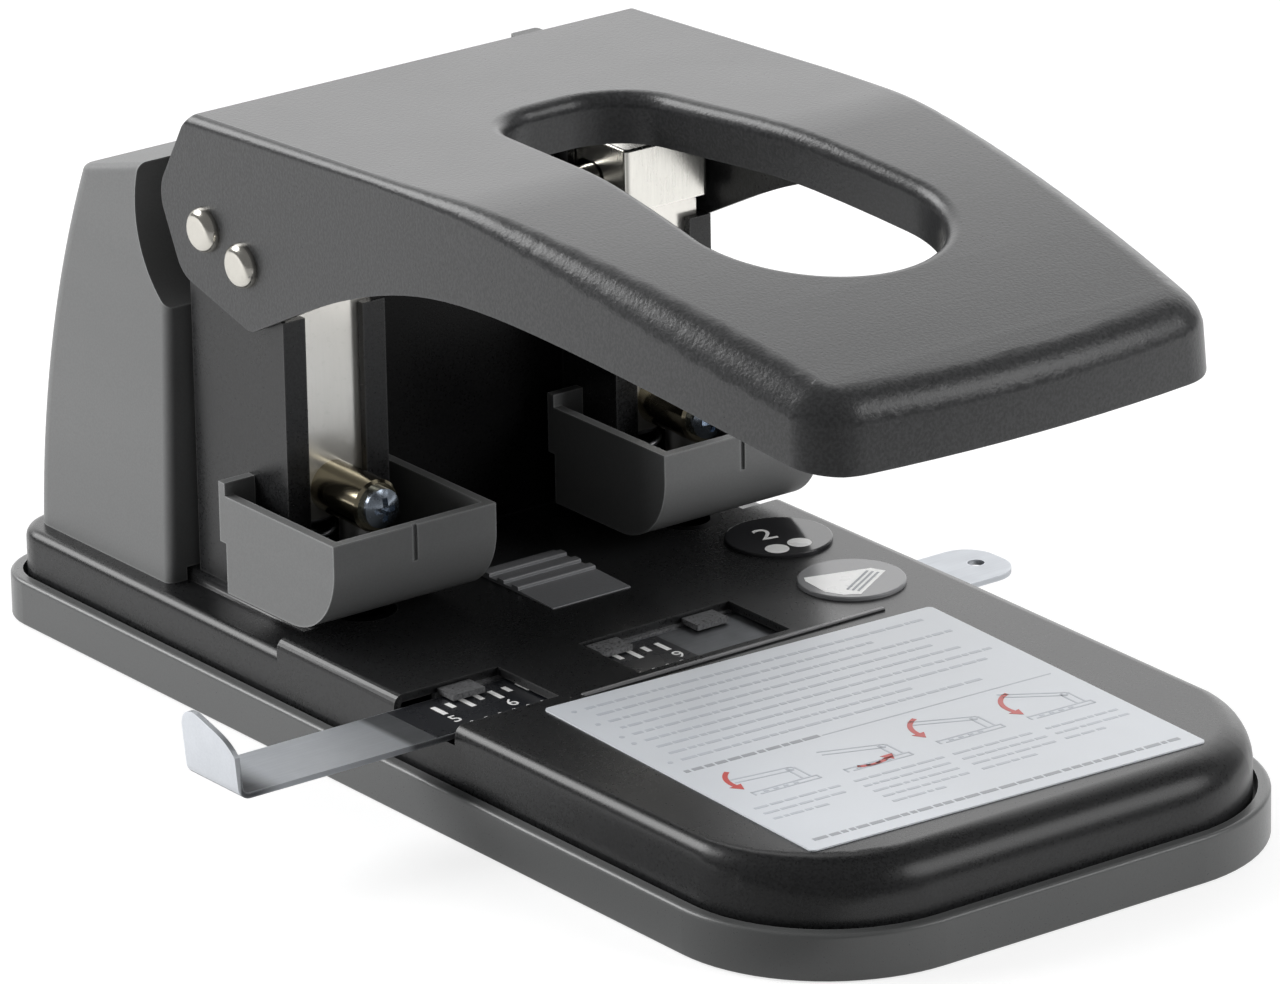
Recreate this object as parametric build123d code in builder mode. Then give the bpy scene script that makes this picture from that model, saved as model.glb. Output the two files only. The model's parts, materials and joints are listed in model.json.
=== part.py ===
"""Heavy-duty two-hole desk punch, built piece by piece.

Millimetres, +Z up, +X to the user's right, +Y to the back. The origin is the middle of the
tray's flat underside, so the punch stands on Z = 0 and its handle tip points to -Y.
"""

import os
from math import cos, pi, radians, sin

from build123d import *

os.makedirs("parts", exist_ok=True)

# Punching: the two holes and the slot that takes the sheets
hole_spacing = 70.0
hole_diameter = 7.1
throat = 2.4
backset = 9.5

# Overall reach of the base from the line of the two holes
front_reach = 151.0
rear_reach = 84.0

# Clearances
fit_gap = 0.03
running_gap = 0.08
slide_gap = 0.3
swing_gap = 0.9

# Chip tray: the grey plastic pan that everything stands in
rim_height = 8.3
tray_wall = 2.2
tray_floor = 1.6
tray_front_radius = 30.5
tray_rear_radius = 12.0
tray_ledge_height = 5.0
tray_ledge_width = 3.2
tray_edge_radius = 0.8

# Deck: the black pressed-steel table
deck_gap = 0.85
deck_sheet = 1.5
deck_top = 18.8
deck_roll = 7.0
deck_ledge_drop = 2.4
deck_ledge_width = 8.3
deck_ledge_roll = 5.0
deck_rear_roll = 1.0
deck_rear_margin = 6.0
deck_step_ahead = 2.5

# Posts: black steel channels that guide the punch carriers and hold the pivot
post_width = 21.2
post_sheet = 1.5
post_front_behind_hole = 5.8
post_mouth = 12.0
post_front_height = 71.5
post_web_height = 70.0

# Pivot and drive axle of the handle
pivot_behind_hole = 24.9
pivot_height = 83.9
pivot_lug_radius = 8.6
drive_ahead = 11.2
drive_below = 3.5
axle_diameter = 5.0
rivet_head_diameter = 8.0
rivet_head_height = 2.1
rivet_dome = 0.85
handle_swing = 21.0

# Punch carriers
carrier_sheet = 2.0
carrier_depth = 13.4
carrier_bottom = 34.0
carrier_seam = 76.0
head_rise = 11.5
head_width = 17.7
head_overhang = 3.6
head_edge_radius = 1.0
drive_slot_gap = 0.25
drive_slot_room = 0.6

# Pin holders, punch pins and clamp screws
holder_diameter = 9.4
holder_height = 39.2
holder_front_wall = 2.0
pin_reach = 0.27
pin_rest_gap = 0.5
pin_hollow = 0.8
clamp_head_diameter = 7.0
clamp_head_height = 2.6
clamp_thread = 4.0
cross_width = 1.1
cross_depth = 1.3

# Dies and return springs
die_diameter = 12.0
die_flange_diameter = 15.0
die_flange = 1.6
die_length = 6.0
die_gap = 0.1
die_relief = 0.6
spring_diameter = 9.0
spring_wire = 1.1
spring_turns = 4
spring_seat_gap = 0.05

# Guards: the two open boxes round the punch pins
guard_width = 34.0
guard_front_ahead = 16.5
guard_depth = 34.0
guard_top = 39.0
guard_wall = 1.8
guard_nose_radius = 13.0
guard_back_rise = 2.3
guard_back_step = 1.8
guard_step_height = 30.3
guard_pin_gap = 0.35
guard_mark_width = 0.9
guard_mark_depth = 0.5
guard_mark_length = 6.5

# Cross plate between the posts
cross_plate_sheet = 1.5
cross_plate_height = 72.0
cross_plate_foot = 11.0

# Handle: black pressed steel, open below
handle_sheet = 1.4
handle_roll = 3.2
handle_tip_ahead = 166.4
handle_tip_rise = 10.1
handle_tip_taper = 6.5
handle_straight_ahead = 51.0
handle_tip_bow = 3.2
handle_tip_corner = 10.5
handle_rear_rise = 19.6
handle_rear_slope = 0.05
handle_crest_ahead = 75.4
handle_crest_rise = 23.4
handle_middle_ahead = 116.4
handle_middle_rise = 19.6
handle_crest_radius = 120.0
# Lower edge as distances ahead of the pivot and above it, front to back
handle_arch = ((163.0, -1.3), (132.4, 2.7), (95.0, 6.0), (64.0, 4.8), (38.0, -3.1), (27.0, -8.2))
# Corners of the rear lobe behind the pivot and above it, from the low front corner to the top
handle_lobe = ((-12.7, -15.3), (7.6, -10.0), (14.2, 3.8), (4.0, 19.4))
handle_lobe_radii = (3.0, 6.0, 7.0)

# Hand hole in the handle's top
hand_hole_rear_ahead = 35.3
hand_hole_front_ahead = 129.4
hand_hole_rear_radius = 12.0
hand_hole_rear_half = 15.6
hand_hole_front_radius = 21.8
hand_hole_lip = 9.0
hand_hole_roll = 2.6

# Rear cover: grey plastic housing behind the posts
cover_wall = 2.0
cover_side_clearance = 0.6
cover_draft = 2.0
cover_front_behind_pivot = 11.1
cover_hollow_radius = 20.5
cover_return = 4.6
cover_top_rise = 1.7
cover_top_behind_pivot = 39.0
cover_top_slope = 0.27
cover_back_bulge = 3.6
cover_corner_radius = 4.0
cover_edge_radius = 1.6
cover_back_setback = 3.0
cover_ear_behind_pivot = 20.4
cover_ear_width = 6.0
cover_ear_x = 35.5
cover_ear_thickness = 2.5
cover_ear_rise = 6.5
cover_boss_diameter = 8.0
cover_boss_height = 12.0
cover_boss_inset = 9.0

# Gauge: zinc-plated strip that slides across under the deck
gauge_ahead = 45.5
gauge_width = 15.0
gauge_sheet = 1.0
gauge_left = 98.6
gauge_right = 68.5
gauge_bend = 2.2
gauge_tab_height = 12.5
gauge_tab_corner = 3.5
gauge_tip_radius = 6.0
gauge_eye_diameter = 3.0
gauge_eye_inset = 5.0
gauge_side_gap = 0.3
gauge_under_gap = 0.1
gauge_over_gap = 0.3
track_sheet = 1.0
track_wall = 1.2
track_tab_width = 6.6
track_tab_reach = 4.0
track_tab_places = (-42.5, -11.5, 9.0)
window_margin = 1.2
window_left_end = -33.0
window_middle = (-16.0, 16.0)
window_roll_kept = 2.0

# Trim on the deck
label_size = (79.8, 77.9)
label_thickness = 0.25
label_ahead = 98.5
label_x = -0.8
label_turn = -2.6
label_corner = 1.0
disc_diameter = 19.0
disc_thickness = 0.7
disc_edge = 0.3
disc_places = ((41.0, 18.6), (38.1, 43.0))
pad_width = 16.6
pad_x = -1.4
pad_front_ahead = 21.0
pad_length = 22.2
pad_front_edge = 0.2
pad_base = 0.5
pad_slope = 9.0
pad_rib_height = 0.6
pad_rib_width = 2.0
pad_rib_pitch = 4.2
pad_ribs = 3
ridge_width = 1.0
ridge_height = 0.4
ridge_span = (-30.0, 34.0)
ridge_ahead = 57.0

# Fixing screws
screw_head_diameter = 7.0
screw_head_height = 2.2
screw_thread = 3.8
screw_length = 7.0

# Places worked out from the sizes above
tray_length = front_reach + rear_reach
hole_y = (front_reach - rear_reach) / 2
hole_x = hole_spacing / 2
tray_front = -tray_length / 2
tray_rear = tray_length / 2
post_half = post_width / 2
post_outer = hole_x + post_half
post_inner = hole_x - post_half
handle_half = post_outer + swing_gap + handle_sheet
cover_half_top = handle_half + cover_side_clearance
cover_half_bottom = cover_half_top + cover_draft
deck_half = cover_half_bottom + deck_ledge_width / 2
tray_half = deck_half + deck_gap + tray_wall
deck_narrow = deck_half - deck_ledge_width
deck_front = tray_front + tray_wall + deck_gap
deck_rear = tray_rear - tray_wall - deck_gap
deck_front_radius = tray_front_radius - tray_wall - deck_gap
deck_rear_radius = tray_rear_radius - tray_wall - deck_gap
deck_ledge = deck_top - deck_ledge_drop
deck_under = deck_top - deck_sheet
deck_step_y = hole_y - deck_step_ahead
throat_top = deck_top + throat
stop_y = hole_y + backset
post_front = hole_y + post_front_behind_hole
pivot_y = hole_y + pivot_behind_hole
drive_y = pivot_y - drive_ahead
drive_z = pivot_height - drive_below
post_back = pivot_y + pivot_lug_radius
carrier_front = post_front + post_sheet + slide_gap
carrier_back = carrier_front + carrier_depth
carrier_half = post_half - post_sheet - slide_gap
web_front = carrier_back + slide_gap
foot_top = deck_top + post_sheet
gauge_y = hole_y - gauge_ahead
gauge_top = deck_under - gauge_over_gap - gauge_under_gap
gauge_bottom = gauge_top - gauge_sheet
track_floor_top = gauge_bottom - gauge_under_gap

# The drive axle swings on a short arc, which its slot in the carrier heads has to take
swing = radians(handle_swing)
drive_stroke = drive_ahead * sin(swing) - drive_below * (1 - cos(swing))
drive_back = drive_ahead * (1 - cos(swing)) + drive_below * sin(swing)
drive_ratio = drive_stroke / swing
print(f"punch stroke {drive_stroke:.3f} mm over {handle_swing} degrees, {drive_ratio:.4f} mm per radian")
print(f"drive axle runs back {drive_back:.3f} mm")

sides = (("left", -hole_x), ("right", hole_x))


def save(part, name):
    """Label a finished piece and write its STEP file."""
    part.label = name
    export_step(part, f"parts/{name}.step")


def plan(half, front, rear, front_radius, rear_radius):
    """Flat outline of the base: a rectangle with large front and small rear corners."""
    with BuildSketch() as outline:
        with BuildLine():
            FilletPolyline(
                (-half, front),
                (half, front),
                (half, rear),
                (-half, rear),
                radius=(front_radius, front_radius, rear_radius, rear_radius),
                close=True,
            )
        make_face()
    return outline.sketch


def base_plan(inset):
    """Outline of the tray, moved inwards all round."""
    return plan(
        tray_half - inset,
        tray_front + inset,
        tray_rear - inset,
        tray_front_radius - inset,
        tray_rear_radius - inset,
    )


# Chip tray
with BuildPart() as chip_tray:
    with BuildSketch():
        add(base_plan(0))
    extrude(amount=rim_height)
    fillet(chip_tray.faces().sort_by(Axis.Z)[-1].edges(), tray_edge_radius)
    fillet(chip_tray.faces().sort_by(Axis.Z)[0].edges(), tray_edge_radius / 2)
    with BuildSketch(Plane.XY.offset(tray_ledge_height)):
        add(base_plan(tray_wall))
    extrude(amount=rim_height, mode=Mode.SUBTRACT)
    with BuildSketch(Plane.XY.offset(tray_floor)):
        add(base_plan(tray_wall + tray_ledge_width))
    extrude(amount=rim_height, mode=Mode.SUBTRACT)
save(chip_tray.part, "chip_tray")


def deck_lower(inset):
    """Full-length lower form of the deck, with its rolled upper edge."""
    bottom = tray_ledge_height
    with BuildPart() as form:
        with BuildSketch(Plane.XY.offset(bottom)):
            add(
                plan(
                    deck_half - inset,
                    deck_front + inset,
                    deck_rear - inset,
                    deck_front_radius - inset,
                    deck_rear_radius - inset,
                )
            )
        extrude(amount=deck_ledge - inset - bottom)
        fillet(form.faces().sort_by(Axis.Z)[-1].edges(), deck_ledge_roll - inset)
    return form.part


def deck_upper(inset):
    """Raised form of the deck: full width in front of the step, narrower between the ledges."""
    bottom = tray_ledge_height
    half = deck_half - inset
    narrow = deck_narrow - inset
    rear = deck_rear - deck_rear_margin - inset
    with BuildPart() as form:
        with BuildSketch(Plane.XY.offset(bottom)):
            with BuildLine():
                FilletPolyline(
                    (-half, deck_front + inset),
                    (half, deck_front + inset),
                    (half, deck_step_y - inset),
                    (narrow, deck_step_y - inset),
                    (narrow, rear),
                    (-narrow, rear),
                    (-narrow, deck_step_y - inset),
                    (-half, deck_step_y - inset),
                    radius=(deck_front_radius - inset, deck_front_radius - inset, 0, 0, 0, 0, 0, 0),
                    close=True,
                )
            make_face()
        extrude(amount=deck_top - inset - bottom)
        rim = form.faces().sort_by(Axis.Z)[-1].edges()
        front_rim = rim.filter_by(lambda edge: edge.center().Y < deck_step_y - inset - 1)
        fillet(front_rim, deck_roll - inset)
        rear_rim = form.faces().sort_by(Axis.Z)[-1].edges()
        rear_rim = rear_rim.filter_by(lambda edge: edge.center().Y > deck_step_y + 1)
        fillet(rear_rim, deck_rear_roll)
    return form.part


post_screw_y = (web_front + post_sheet + post_back) / 2
cross_foot_y = web_front + cross_plate_sheet + cross_plate_foot / 2
cross_screw_x = post_inner / 2
post_screws_at = [(x, post_screw_y) for _, x in sides]
cross_screws_at = [(x, cross_foot_y) for x in (-cross_screw_x, cross_screw_x)]
cover_boss_x = cover_half_bottom - cover_wall - cover_boss_inset
cover_boss_y = deck_rear - deck_rear_margin - cover_boss_inset
cover_screws_at = [(x, cover_boss_y) for x in (-cover_boss_x, cover_boss_x)]
window_half = gauge_width / 2 + window_margin

# Deck
deck_outside = (deck_lower(0), deck_upper(0))
deck_inside = (deck_lower(deck_sheet), deck_upper(deck_sheet))
with BuildPart() as deck:
    for form in deck_outside:
        add(form)
    for form in deck_inside:
        add(form, mode=Mode.SUBTRACT)
    # Raised line behind the label
    with BuildSketch(Plane.XY.offset(deck_top)):
        with Locations((sum(ridge_span) / 2, hole_y - ridge_ahead)):
            Rectangle(ridge_span[1] - ridge_span[0], ridge_width)
    extrude(amount=ridge_height)
    # Windows over the gauge, open at the left edge and notched at the right edge
    with BuildSketch(Plane.XY.offset(gauge_bottom - window_margin / 2)):
        for start, end in (
            (-deck_half - 1, window_left_end),
            window_middle,
            (deck_half - deck_roll + window_roll_kept, deck_half + 1),
        ):
            with Locations(((start + end) / 2, gauge_y)):
                Rectangle(end - start, 2 * window_half)
    extrude(amount=deck_top, mode=Mode.SUBTRACT)
    # Die seats and screw holes
    with Locations(*[(x, hole_y, deck_top) for _, x in sides]):
        Hole(die_diameter / 2 + die_gap, depth=2 * deck_sheet)
    with Locations(*[(x, y, deck_top) for x, y in post_screws_at + cross_screws_at + cover_screws_at]):
        Hole(screw_thread / 2 + fit_gap, depth=2 * deck_sheet)
save(deck.part, "deck")

# Track under the deck that carries the gauge, with three hold-down tabs
track_half = deck_half - deck_roll - 1
track_side = gauge_width / 2 + gauge_side_gap
with BuildPart() as gauge_track:
    with BuildSketch(Plane.XY.offset(track_floor_top - track_sheet)):
        with Locations((0, gauge_y)):
            Rectangle(2 * track_half, 2 * (track_side + track_wall))
    extrude(amount=deck_under - track_floor_top + track_sheet)
    with BuildSketch(Plane.XY.offset(track_floor_top)):
        with Locations((0, gauge_y)):
            Rectangle(2 * track_half, 2 * track_side)
    extrude(amount=deck_top, mode=Mode.SUBTRACT)
    tab_rear = window_half - gauge_side_gap
    tab_front = track_side - track_tab_reach
    with BuildSketch(Plane.XY.offset(gauge_top + gauge_over_gap)):
        for place in track_tab_places:
            with Locations((place, gauge_y + (tab_rear + tab_front) / 2)):
                Rectangle(track_tab_width, tab_rear - tab_front)
    extrude(amount=track_sheet)
save(gauge_track.part, "gauge_track")

# Gauge strip with its bent-up tab on the left and an eye at the right end
gauge_plane = Plane((0, gauge_y, 0), x_dir=(1, 0, 0), z_dir=(0, -1, 0))
with BuildPart() as gauge:
    with BuildSketch(gauge_plane):
        with BuildLine() as bend:
            FilletPolyline(
                (gauge_right, gauge_bottom),
                (-gauge_left, gauge_bottom),
                (-gauge_left, gauge_bottom + gauge_tab_height),
                (-gauge_left + gauge_sheet, gauge_bottom + gauge_tab_height),
                (-gauge_left + gauge_sheet, gauge_top),
                (gauge_right, gauge_top),
                radius=(0, gauge_bend, 0, 0, gauge_bend - gauge_sheet, 0),
                close=True,
            )
        make_face()
    extrude(amount=gauge_width / 2, both=True)
    tip_edges = gauge.edges().filter_by(Axis.Z).group_by(Axis.X)[-1]
    fillet(tip_edges, gauge_tip_radius)
    tab_edges = gauge.edges().filter_by(Axis.X).group_by(Axis.Z)[-1]
    fillet(tab_edges, gauge_tab_corner)
    with Locations((gauge_right - gauge_eye_inset, gauge_y, gauge_top)):
        Hole(gauge_eye_diameter / 2)
save(gauge.part, "gauge")

# Die bushes pressed into the deck
for name, x in sides:
    with BuildPart() as die:
        with BuildSketch(Plane.XY.offset(deck_top - die_length)):
            with Locations((x, hole_y)):
                Circle(die_diameter / 2)
        extrude(amount=die_length)
        with BuildSketch(Plane.XY.offset(deck_under - die_flange)):
            with Locations((x, hole_y)):
                Circle(die_flange_diameter / 2)
        extrude(amount=die_flange)
        with Locations((x, hole_y, deck_top)):
            Hole(hole_diameter / 2 + running_gap)
        with Locations((x, hole_y, deck_under - die_flange)):
            Hole(hole_diameter / 2 + die_relief, depth=die_length)
    save(die.part, f"{name}_die")

# Posts
for name, x in sides:
    with BuildPart() as post:
        # Side walls, low in front and raised round the pivot behind
        for wall_x in (x - post_half, x + post_half - post_sheet):
            with BuildSketch(Plane.YZ.offset(wall_x)):
                with Locations(((post_front + post_back) / 2, (deck_top + post_front_height) / 2)):
                    Rectangle(post_back - post_front, post_front_height - deck_top)
                with Locations((pivot_y, (deck_top + pivot_height) / 2)):
                    Rectangle(2 * pivot_lug_radius, pivot_height - deck_top)
                with Locations((pivot_y, pivot_height)):
                    Circle(pivot_lug_radius)
                drive_room = drive_y + drive_back + axle_diameter / 2 + drive_slot_room
                with Locations((drive_room - pivot_lug_radius, post_front_height + pivot_lug_radius)):
                    Rectangle(2 * pivot_lug_radius, 2 * pivot_lug_radius, mode=Mode.SUBTRACT)
                with Locations((pivot_y, pivot_height)):
                    Circle(axle_diameter / 2 + running_gap, mode=Mode.SUBTRACT)
            extrude(amount=post_sheet)
        # Front lips, back web and foot
        lip = (post_width - post_mouth) / 2
        with BuildSketch(Plane.XY.offset(deck_top)):
            for lip_x in (x - post_half + lip / 2, x + post_half - lip / 2):
                with Locations((lip_x, post_front + post_sheet / 2)):
                    Rectangle(lip, post_sheet)
        extrude(amount=post_front_height - deck_top)
        with BuildSketch(Plane.XY.offset(deck_top)):
            with Locations((x, web_front + post_sheet / 2)):
                Rectangle(post_width - post_sheet, post_sheet)
        extrude(amount=post_web_height - deck_top)
        with BuildSketch(Plane.XY.offset(deck_top)):
            with Locations((x, (stop_y + post_back) / 2)):
                Rectangle(post_width - post_sheet, post_back - stop_y)
        extrude(amount=post_sheet)
        # The sheets pass under the post as far as the stop
        with BuildSketch(Plane.XY.offset(deck_top)):
            with Locations((x, (post_front - 1 + stop_y) / 2)):
                Rectangle(post_width + 2, stop_y - post_front + 1)
        extrude(amount=throat, mode=Mode.SUBTRACT)
        with Locations((x, post_screw_y, foot_top)):
            Hole(screw_thread / 2 + fit_gap, depth=2 * post_sheet)
    save(post.part, f"{name}_post")

# Cross plate between the posts
with BuildPart() as cross_plate:
    with BuildSketch(Plane.XY.offset(deck_top)):
        with Locations((0, web_front + cross_plate_sheet / 2)):
            Rectangle(2 * post_inner, cross_plate_sheet)
    extrude(amount=cross_plate_height - deck_top)
    with BuildSketch(Plane.XY.offset(deck_top)):
        with Locations((0, cross_foot_y)):
            Rectangle(2 * post_inner, cross_plate_foot)
    extrude(amount=cross_plate_sheet)
    with Locations(*[(x, y, deck_top + cross_plate_sheet) for x, y in cross_screws_at]):
        Hole(screw_thread / 2 + fit_gap, depth=2 * cross_plate_sheet)
save(cross_plate.part, "cross_plate")


def screw_profile(head_diameter, head_height, thread, length):
    """Half section of a pan-head screw, head on top, with its seat at height 0."""
    with BuildSketch(Plane.XZ) as section:
        with BuildLine():
            edge = head_height * 0.55
            Polyline(
                (0, head_height),
                (0, -length),
                (thread / 2, -length),
                (thread / 2, 0),
                (head_diameter / 2, 0),
                (head_diameter / 2, edge),
            )
            RadiusArc((head_diameter / 2, edge), (0, head_height), -head_diameter)
        make_face()
    return section.sketch


def pan_screw(head_diameter, head_height, thread, length):
    """Pan-head screw with a cross recess, standing on its thread along Z."""
    with BuildPart() as screw:
        with BuildSketch(Plane.XZ):
            add(screw_profile(head_diameter, head_height, thread, length))
        revolve(axis=Axis.Z)
        with BuildSketch(Plane.XY.offset(head_height - cross_depth)):
            Rectangle(head_diameter * 0.6, cross_width)
            Rectangle(cross_width, head_diameter * 0.6)
        extrude(amount=head_height, mode=Mode.SUBTRACT)
    return screw.part


# Screws that hold the posts, the cross plate and, from below, the rear cover
fixing_screw = pan_screw(screw_head_diameter, screw_head_height, screw_thread, screw_length)
with BuildPart() as frame_screws:
    with Locations(*[(x, y, foot_top) for x, y in post_screws_at]):
        add(fixing_screw)
    with Locations(*[(x, y, deck_top + cross_plate_sheet) for x, y in cross_screws_at]):
        add(fixing_screw)
save(frame_screws.part, "frame_screws")

with BuildPart() as cover_screws:
    with Locations(*[Location((x, y, deck_under), (180, 0, 0)) for x, y in cover_screws_at]):
        add(fixing_screw)
save(cover_screws.part, "cover_screws")

# Carriers, heads, holders, pins and clamp screws of the two punches
holder_front = hole_y - hole_diameter / 2 - holder_front_wall
pin_tip = throat_top + pin_rest_gap
pin_top = holder_height + pin_reach * holder_diameter
for name, x in sides:
    with BuildPart() as carrier:
        with BuildSketch(Plane.XY.offset(carrier_bottom)):
            with Locations((x, (carrier_front + carrier_back) / 2)):
                Rectangle(2 * carrier_half, carrier_depth)
        extrude(amount=carrier_seam - carrier_bottom)
        inside_back = carrier_back + 1
        with BuildSketch(Plane.XY.offset(carrier_bottom + carrier_sheet)):
            with Locations((x, (carrier_front + carrier_sheet + inside_back) / 2)):
                Rectangle(2 * (carrier_half - carrier_sheet), inside_back - carrier_front - carrier_sheet)
        extrude(amount=carrier_seam, mode=Mode.SUBTRACT)
    save(carrier.part, f"{name}_carrier")

    head_front = carrier_front - head_overhang
    with BuildPart() as head:
        with BuildSketch(Plane.XY.offset(carrier_seam)):
            with Locations((x, (head_front + carrier_back) / 2)):
                Rectangle(head_width, carrier_back - head_front)
        extrude(amount=head_rise)
        fillet(head.edges().filter_by(Axis.Z), head_edge_radius)
        fillet(head.faces().sort_by(Axis.Z)[-1].edges(), head_edge_radius / 2)
        slot_front = drive_y - axle_diameter / 2 - drive_slot_room
        slot_back = drive_y + drive_back + axle_diameter / 2 + drive_slot_room
        with BuildSketch(Plane.YZ.offset(x)):
            with Locations(((slot_front + slot_back) / 2, drive_z)):
                SlotOverall(slot_back - slot_front, axle_diameter + 2 * drive_slot_gap)
        extrude(amount=head_width, both=True, mode=Mode.SUBTRACT)
    save(head.part, f"{name}_carrier_head")

    with BuildPart() as holder:
        with BuildSketch(Plane.XZ.offset(-carrier_front)):
            with Locations((x, holder_height)):
                Circle(holder_diameter / 2)
        extrude(amount=carrier_front - holder_front)
        chamfer(holder.faces().sort_by(Axis.Y)[0].edges(), head_edge_radius / 2)
        # Blind socket from below for the pin, met by the clamp screw's hole
        with BuildSketch(Plane.XY.offset(pin_top)):
            with Locations((x, hole_y)):
                Circle(hole_diameter / 2 + fit_gap)
        extrude(amount=-holder_diameter, mode=Mode.SUBTRACT)
        with BuildSketch(Plane.XZ.offset(-hole_y)):
            with Locations((x, holder_height)):
                Circle(clamp_thread / 2 + fit_gap)
        extrude(amount=hole_y - holder_front + 1, mode=Mode.SUBTRACT)
    save(holder.part, f"{name}_pin_holder")

    with BuildPart() as pin:
        with BuildSketch(Plane.XY.offset(pin_tip)):
            with Locations((x, hole_y)):
                Circle(hole_diameter / 2)
        extrude(amount=pin_top - pin_tip)
        chamfer(pin.faces().sort_by(Axis.Z)[-1].edges(), head_edge_radius / 2)
        # Rounded groove across the tip, so that the rim cuts first
        groove = ((hole_diameter / 2) ** 2 + pin_hollow**2) / (2 * pin_hollow)
        with BuildSketch(Plane.YZ.offset(x)):
            with Locations((hole_y, pin_tip + pin_hollow - groove)):
                Circle(groove)
        extrude(amount=hole_diameter, both=True, mode=Mode.SUBTRACT)
    save(pin.part, f"{name}_punch_pin")

    clamp_length = holder_front_wall - fit_gap
    clamp = pan_screw(clamp_head_diameter, clamp_head_height, clamp_thread, clamp_length)
    with BuildPart() as clamp_screw:
        with Locations(Location((x, holder_front, holder_height), (90, 0, 0))):
            add(clamp)
    save(clamp_screw.part, f"{name}_clamp_screw")


def helix_points(radius, bottom, top, turns):
    """Quarter-turn points of a helix about Z, each with its direction."""
    steps = 4 * turns
    climb = (top - bottom) / (2 * pi * turns)
    for step in range(steps + 1):
        turn = step * pi / 2
        place = Vector(radius * cos(turn), radius * sin(turn), bottom + climb * turn)
        yield place, Vector(-radius * sin(turn), radius * cos(turn), climb).normalized()


def biarc_joint(start, start_way, end, end_way):
    """Meeting point of two arcs that leave start and reach end along the given directions."""
    span = end - start
    both = start_way + end_way
    bend = 2 * (1 - start_way.dot(end_way))
    along = span.dot(both)
    reach = ((along**2 + bend * span.dot(span)) ** 0.5 - along) / bend
    return (start + end + (start_way - end_way) * reach) / 2


def coil(radius, bottom, top, turns, wire):
    """Compression spring about Z: one unbroken wire along a helix of tangent arcs."""
    with BuildPart() as spring:
        with BuildLine() as path:
            points = list(helix_points(radius, bottom, top, turns))
            for (start, start_way), (end, end_way) in zip(points, points[1:]):
                joint = biarc_joint(start, start_way, end, end_way)
                first = TangentArc(start, joint, tangent=start_way)
                TangentArc(joint, end, tangent=first % 1)
        with BuildSketch(Plane(points[0][0], z_dir=points[0][1])):
            Circle(wire / 2)
        sweep(path=path.wires()[0])
    return spring.part


# Return springs between each post's foot and its carrier
spring_y = (carrier_front + web_front) / 2
spring_low = foot_top + spring_seat_gap + spring_wire / 2
spring_high = carrier_bottom - spring_seat_gap - spring_wire / 2
coil_gap = (spring_high - spring_low) / spring_turns - spring_wire
print(f"return spring: gap between turns {coil_gap:.3f} mm")
return_coil = coil((spring_diameter - spring_wire) / 2, spring_low, spring_high, spring_turns, spring_wire)
for name, x in sides:
    with BuildPart() as return_spring:
        with Locations((x, spring_y, 0)):
            add(return_coil)
    save(return_spring.part, f"{name}_return_spring")

# Guards round the punch pins
guard_front = hole_y - guard_front_ahead
guard_back = guard_front + guard_depth


def guard_section(inset, top):
    """Side view of a guard: upright front that curls under, flat floor and a stepped back."""
    nose = guard_nose_radius
    with BuildSketch() as section:
        with BuildLine():
            FilletPolyline(
                (guard_front + inset, top),
                (guard_front + inset, throat_top + inset),
                (guard_back - guard_back_step - inset, throat_top + inset),
                (guard_back - guard_back_step - inset, guard_step_height + inset),
                (guard_back - inset, guard_step_height + inset),
                (guard_back - inset, top),
                radius=(0, nose - inset, 0, 0, 0, 0),
                close=True,
            )
        make_face()
    return section.sketch


for name, x in sides:
    with BuildPart() as guard:
        with BuildSketch(Plane.YZ.offset(x)):
            add(guard_section(0, guard_top + guard_back_rise))
        extrude(amount=guard_width / 2, both=True)
        # Lower everything but the back wall to the side height
        with BuildSketch(Plane.YZ.offset(x)):
            with Locations(((guard_front + guard_back - guard_wall) / 2, guard_top + guard_back_rise)):
                Rectangle(guard_depth - guard_wall, 2 * guard_back_rise)
        extrude(amount=guard_width, both=True, mode=Mode.SUBTRACT)
        with BuildSketch(Plane.YZ.offset(x)):
            add(guard_section(guard_wall, guard_top + 2 * guard_back_rise))
        extrude(amount=guard_width / 2 - guard_wall, both=True, mode=Mode.SUBTRACT)
        # Open at the back, where the post stands
        with BuildSketch(Plane.XY.offset(deck_top)):
            with Locations((x, (post_front + guard_back + 1) / 2)):
                Rectangle(post_width, guard_back + 1 - post_front)
        extrude(amount=guard_top, mode=Mode.SUBTRACT)
        with Locations((x, hole_y, guard_top)):
            Hole(hole_diameter / 2 + guard_pin_gap)
        # Short upright mark in the middle of the front
        with BuildSketch(Plane.XZ.offset(-guard_front)):
            with Locations((x, guard_top - guard_mark_length / 2)):
                Rectangle(guard_mark_width, guard_mark_length)
        extrude(amount=-guard_mark_depth, mode=Mode.SUBTRACT)
    save(guard.part, f"{name}_guard")

# Rear cover
cover_front = pivot_y + cover_front_behind_pivot
cover_top_y = pivot_y + cover_top_behind_pivot
cover_top = pivot_height + cover_top_rise
cover_back = deck_rear - cover_back_setback
cover_boss_top = deck_top + cover_boss_height


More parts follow.
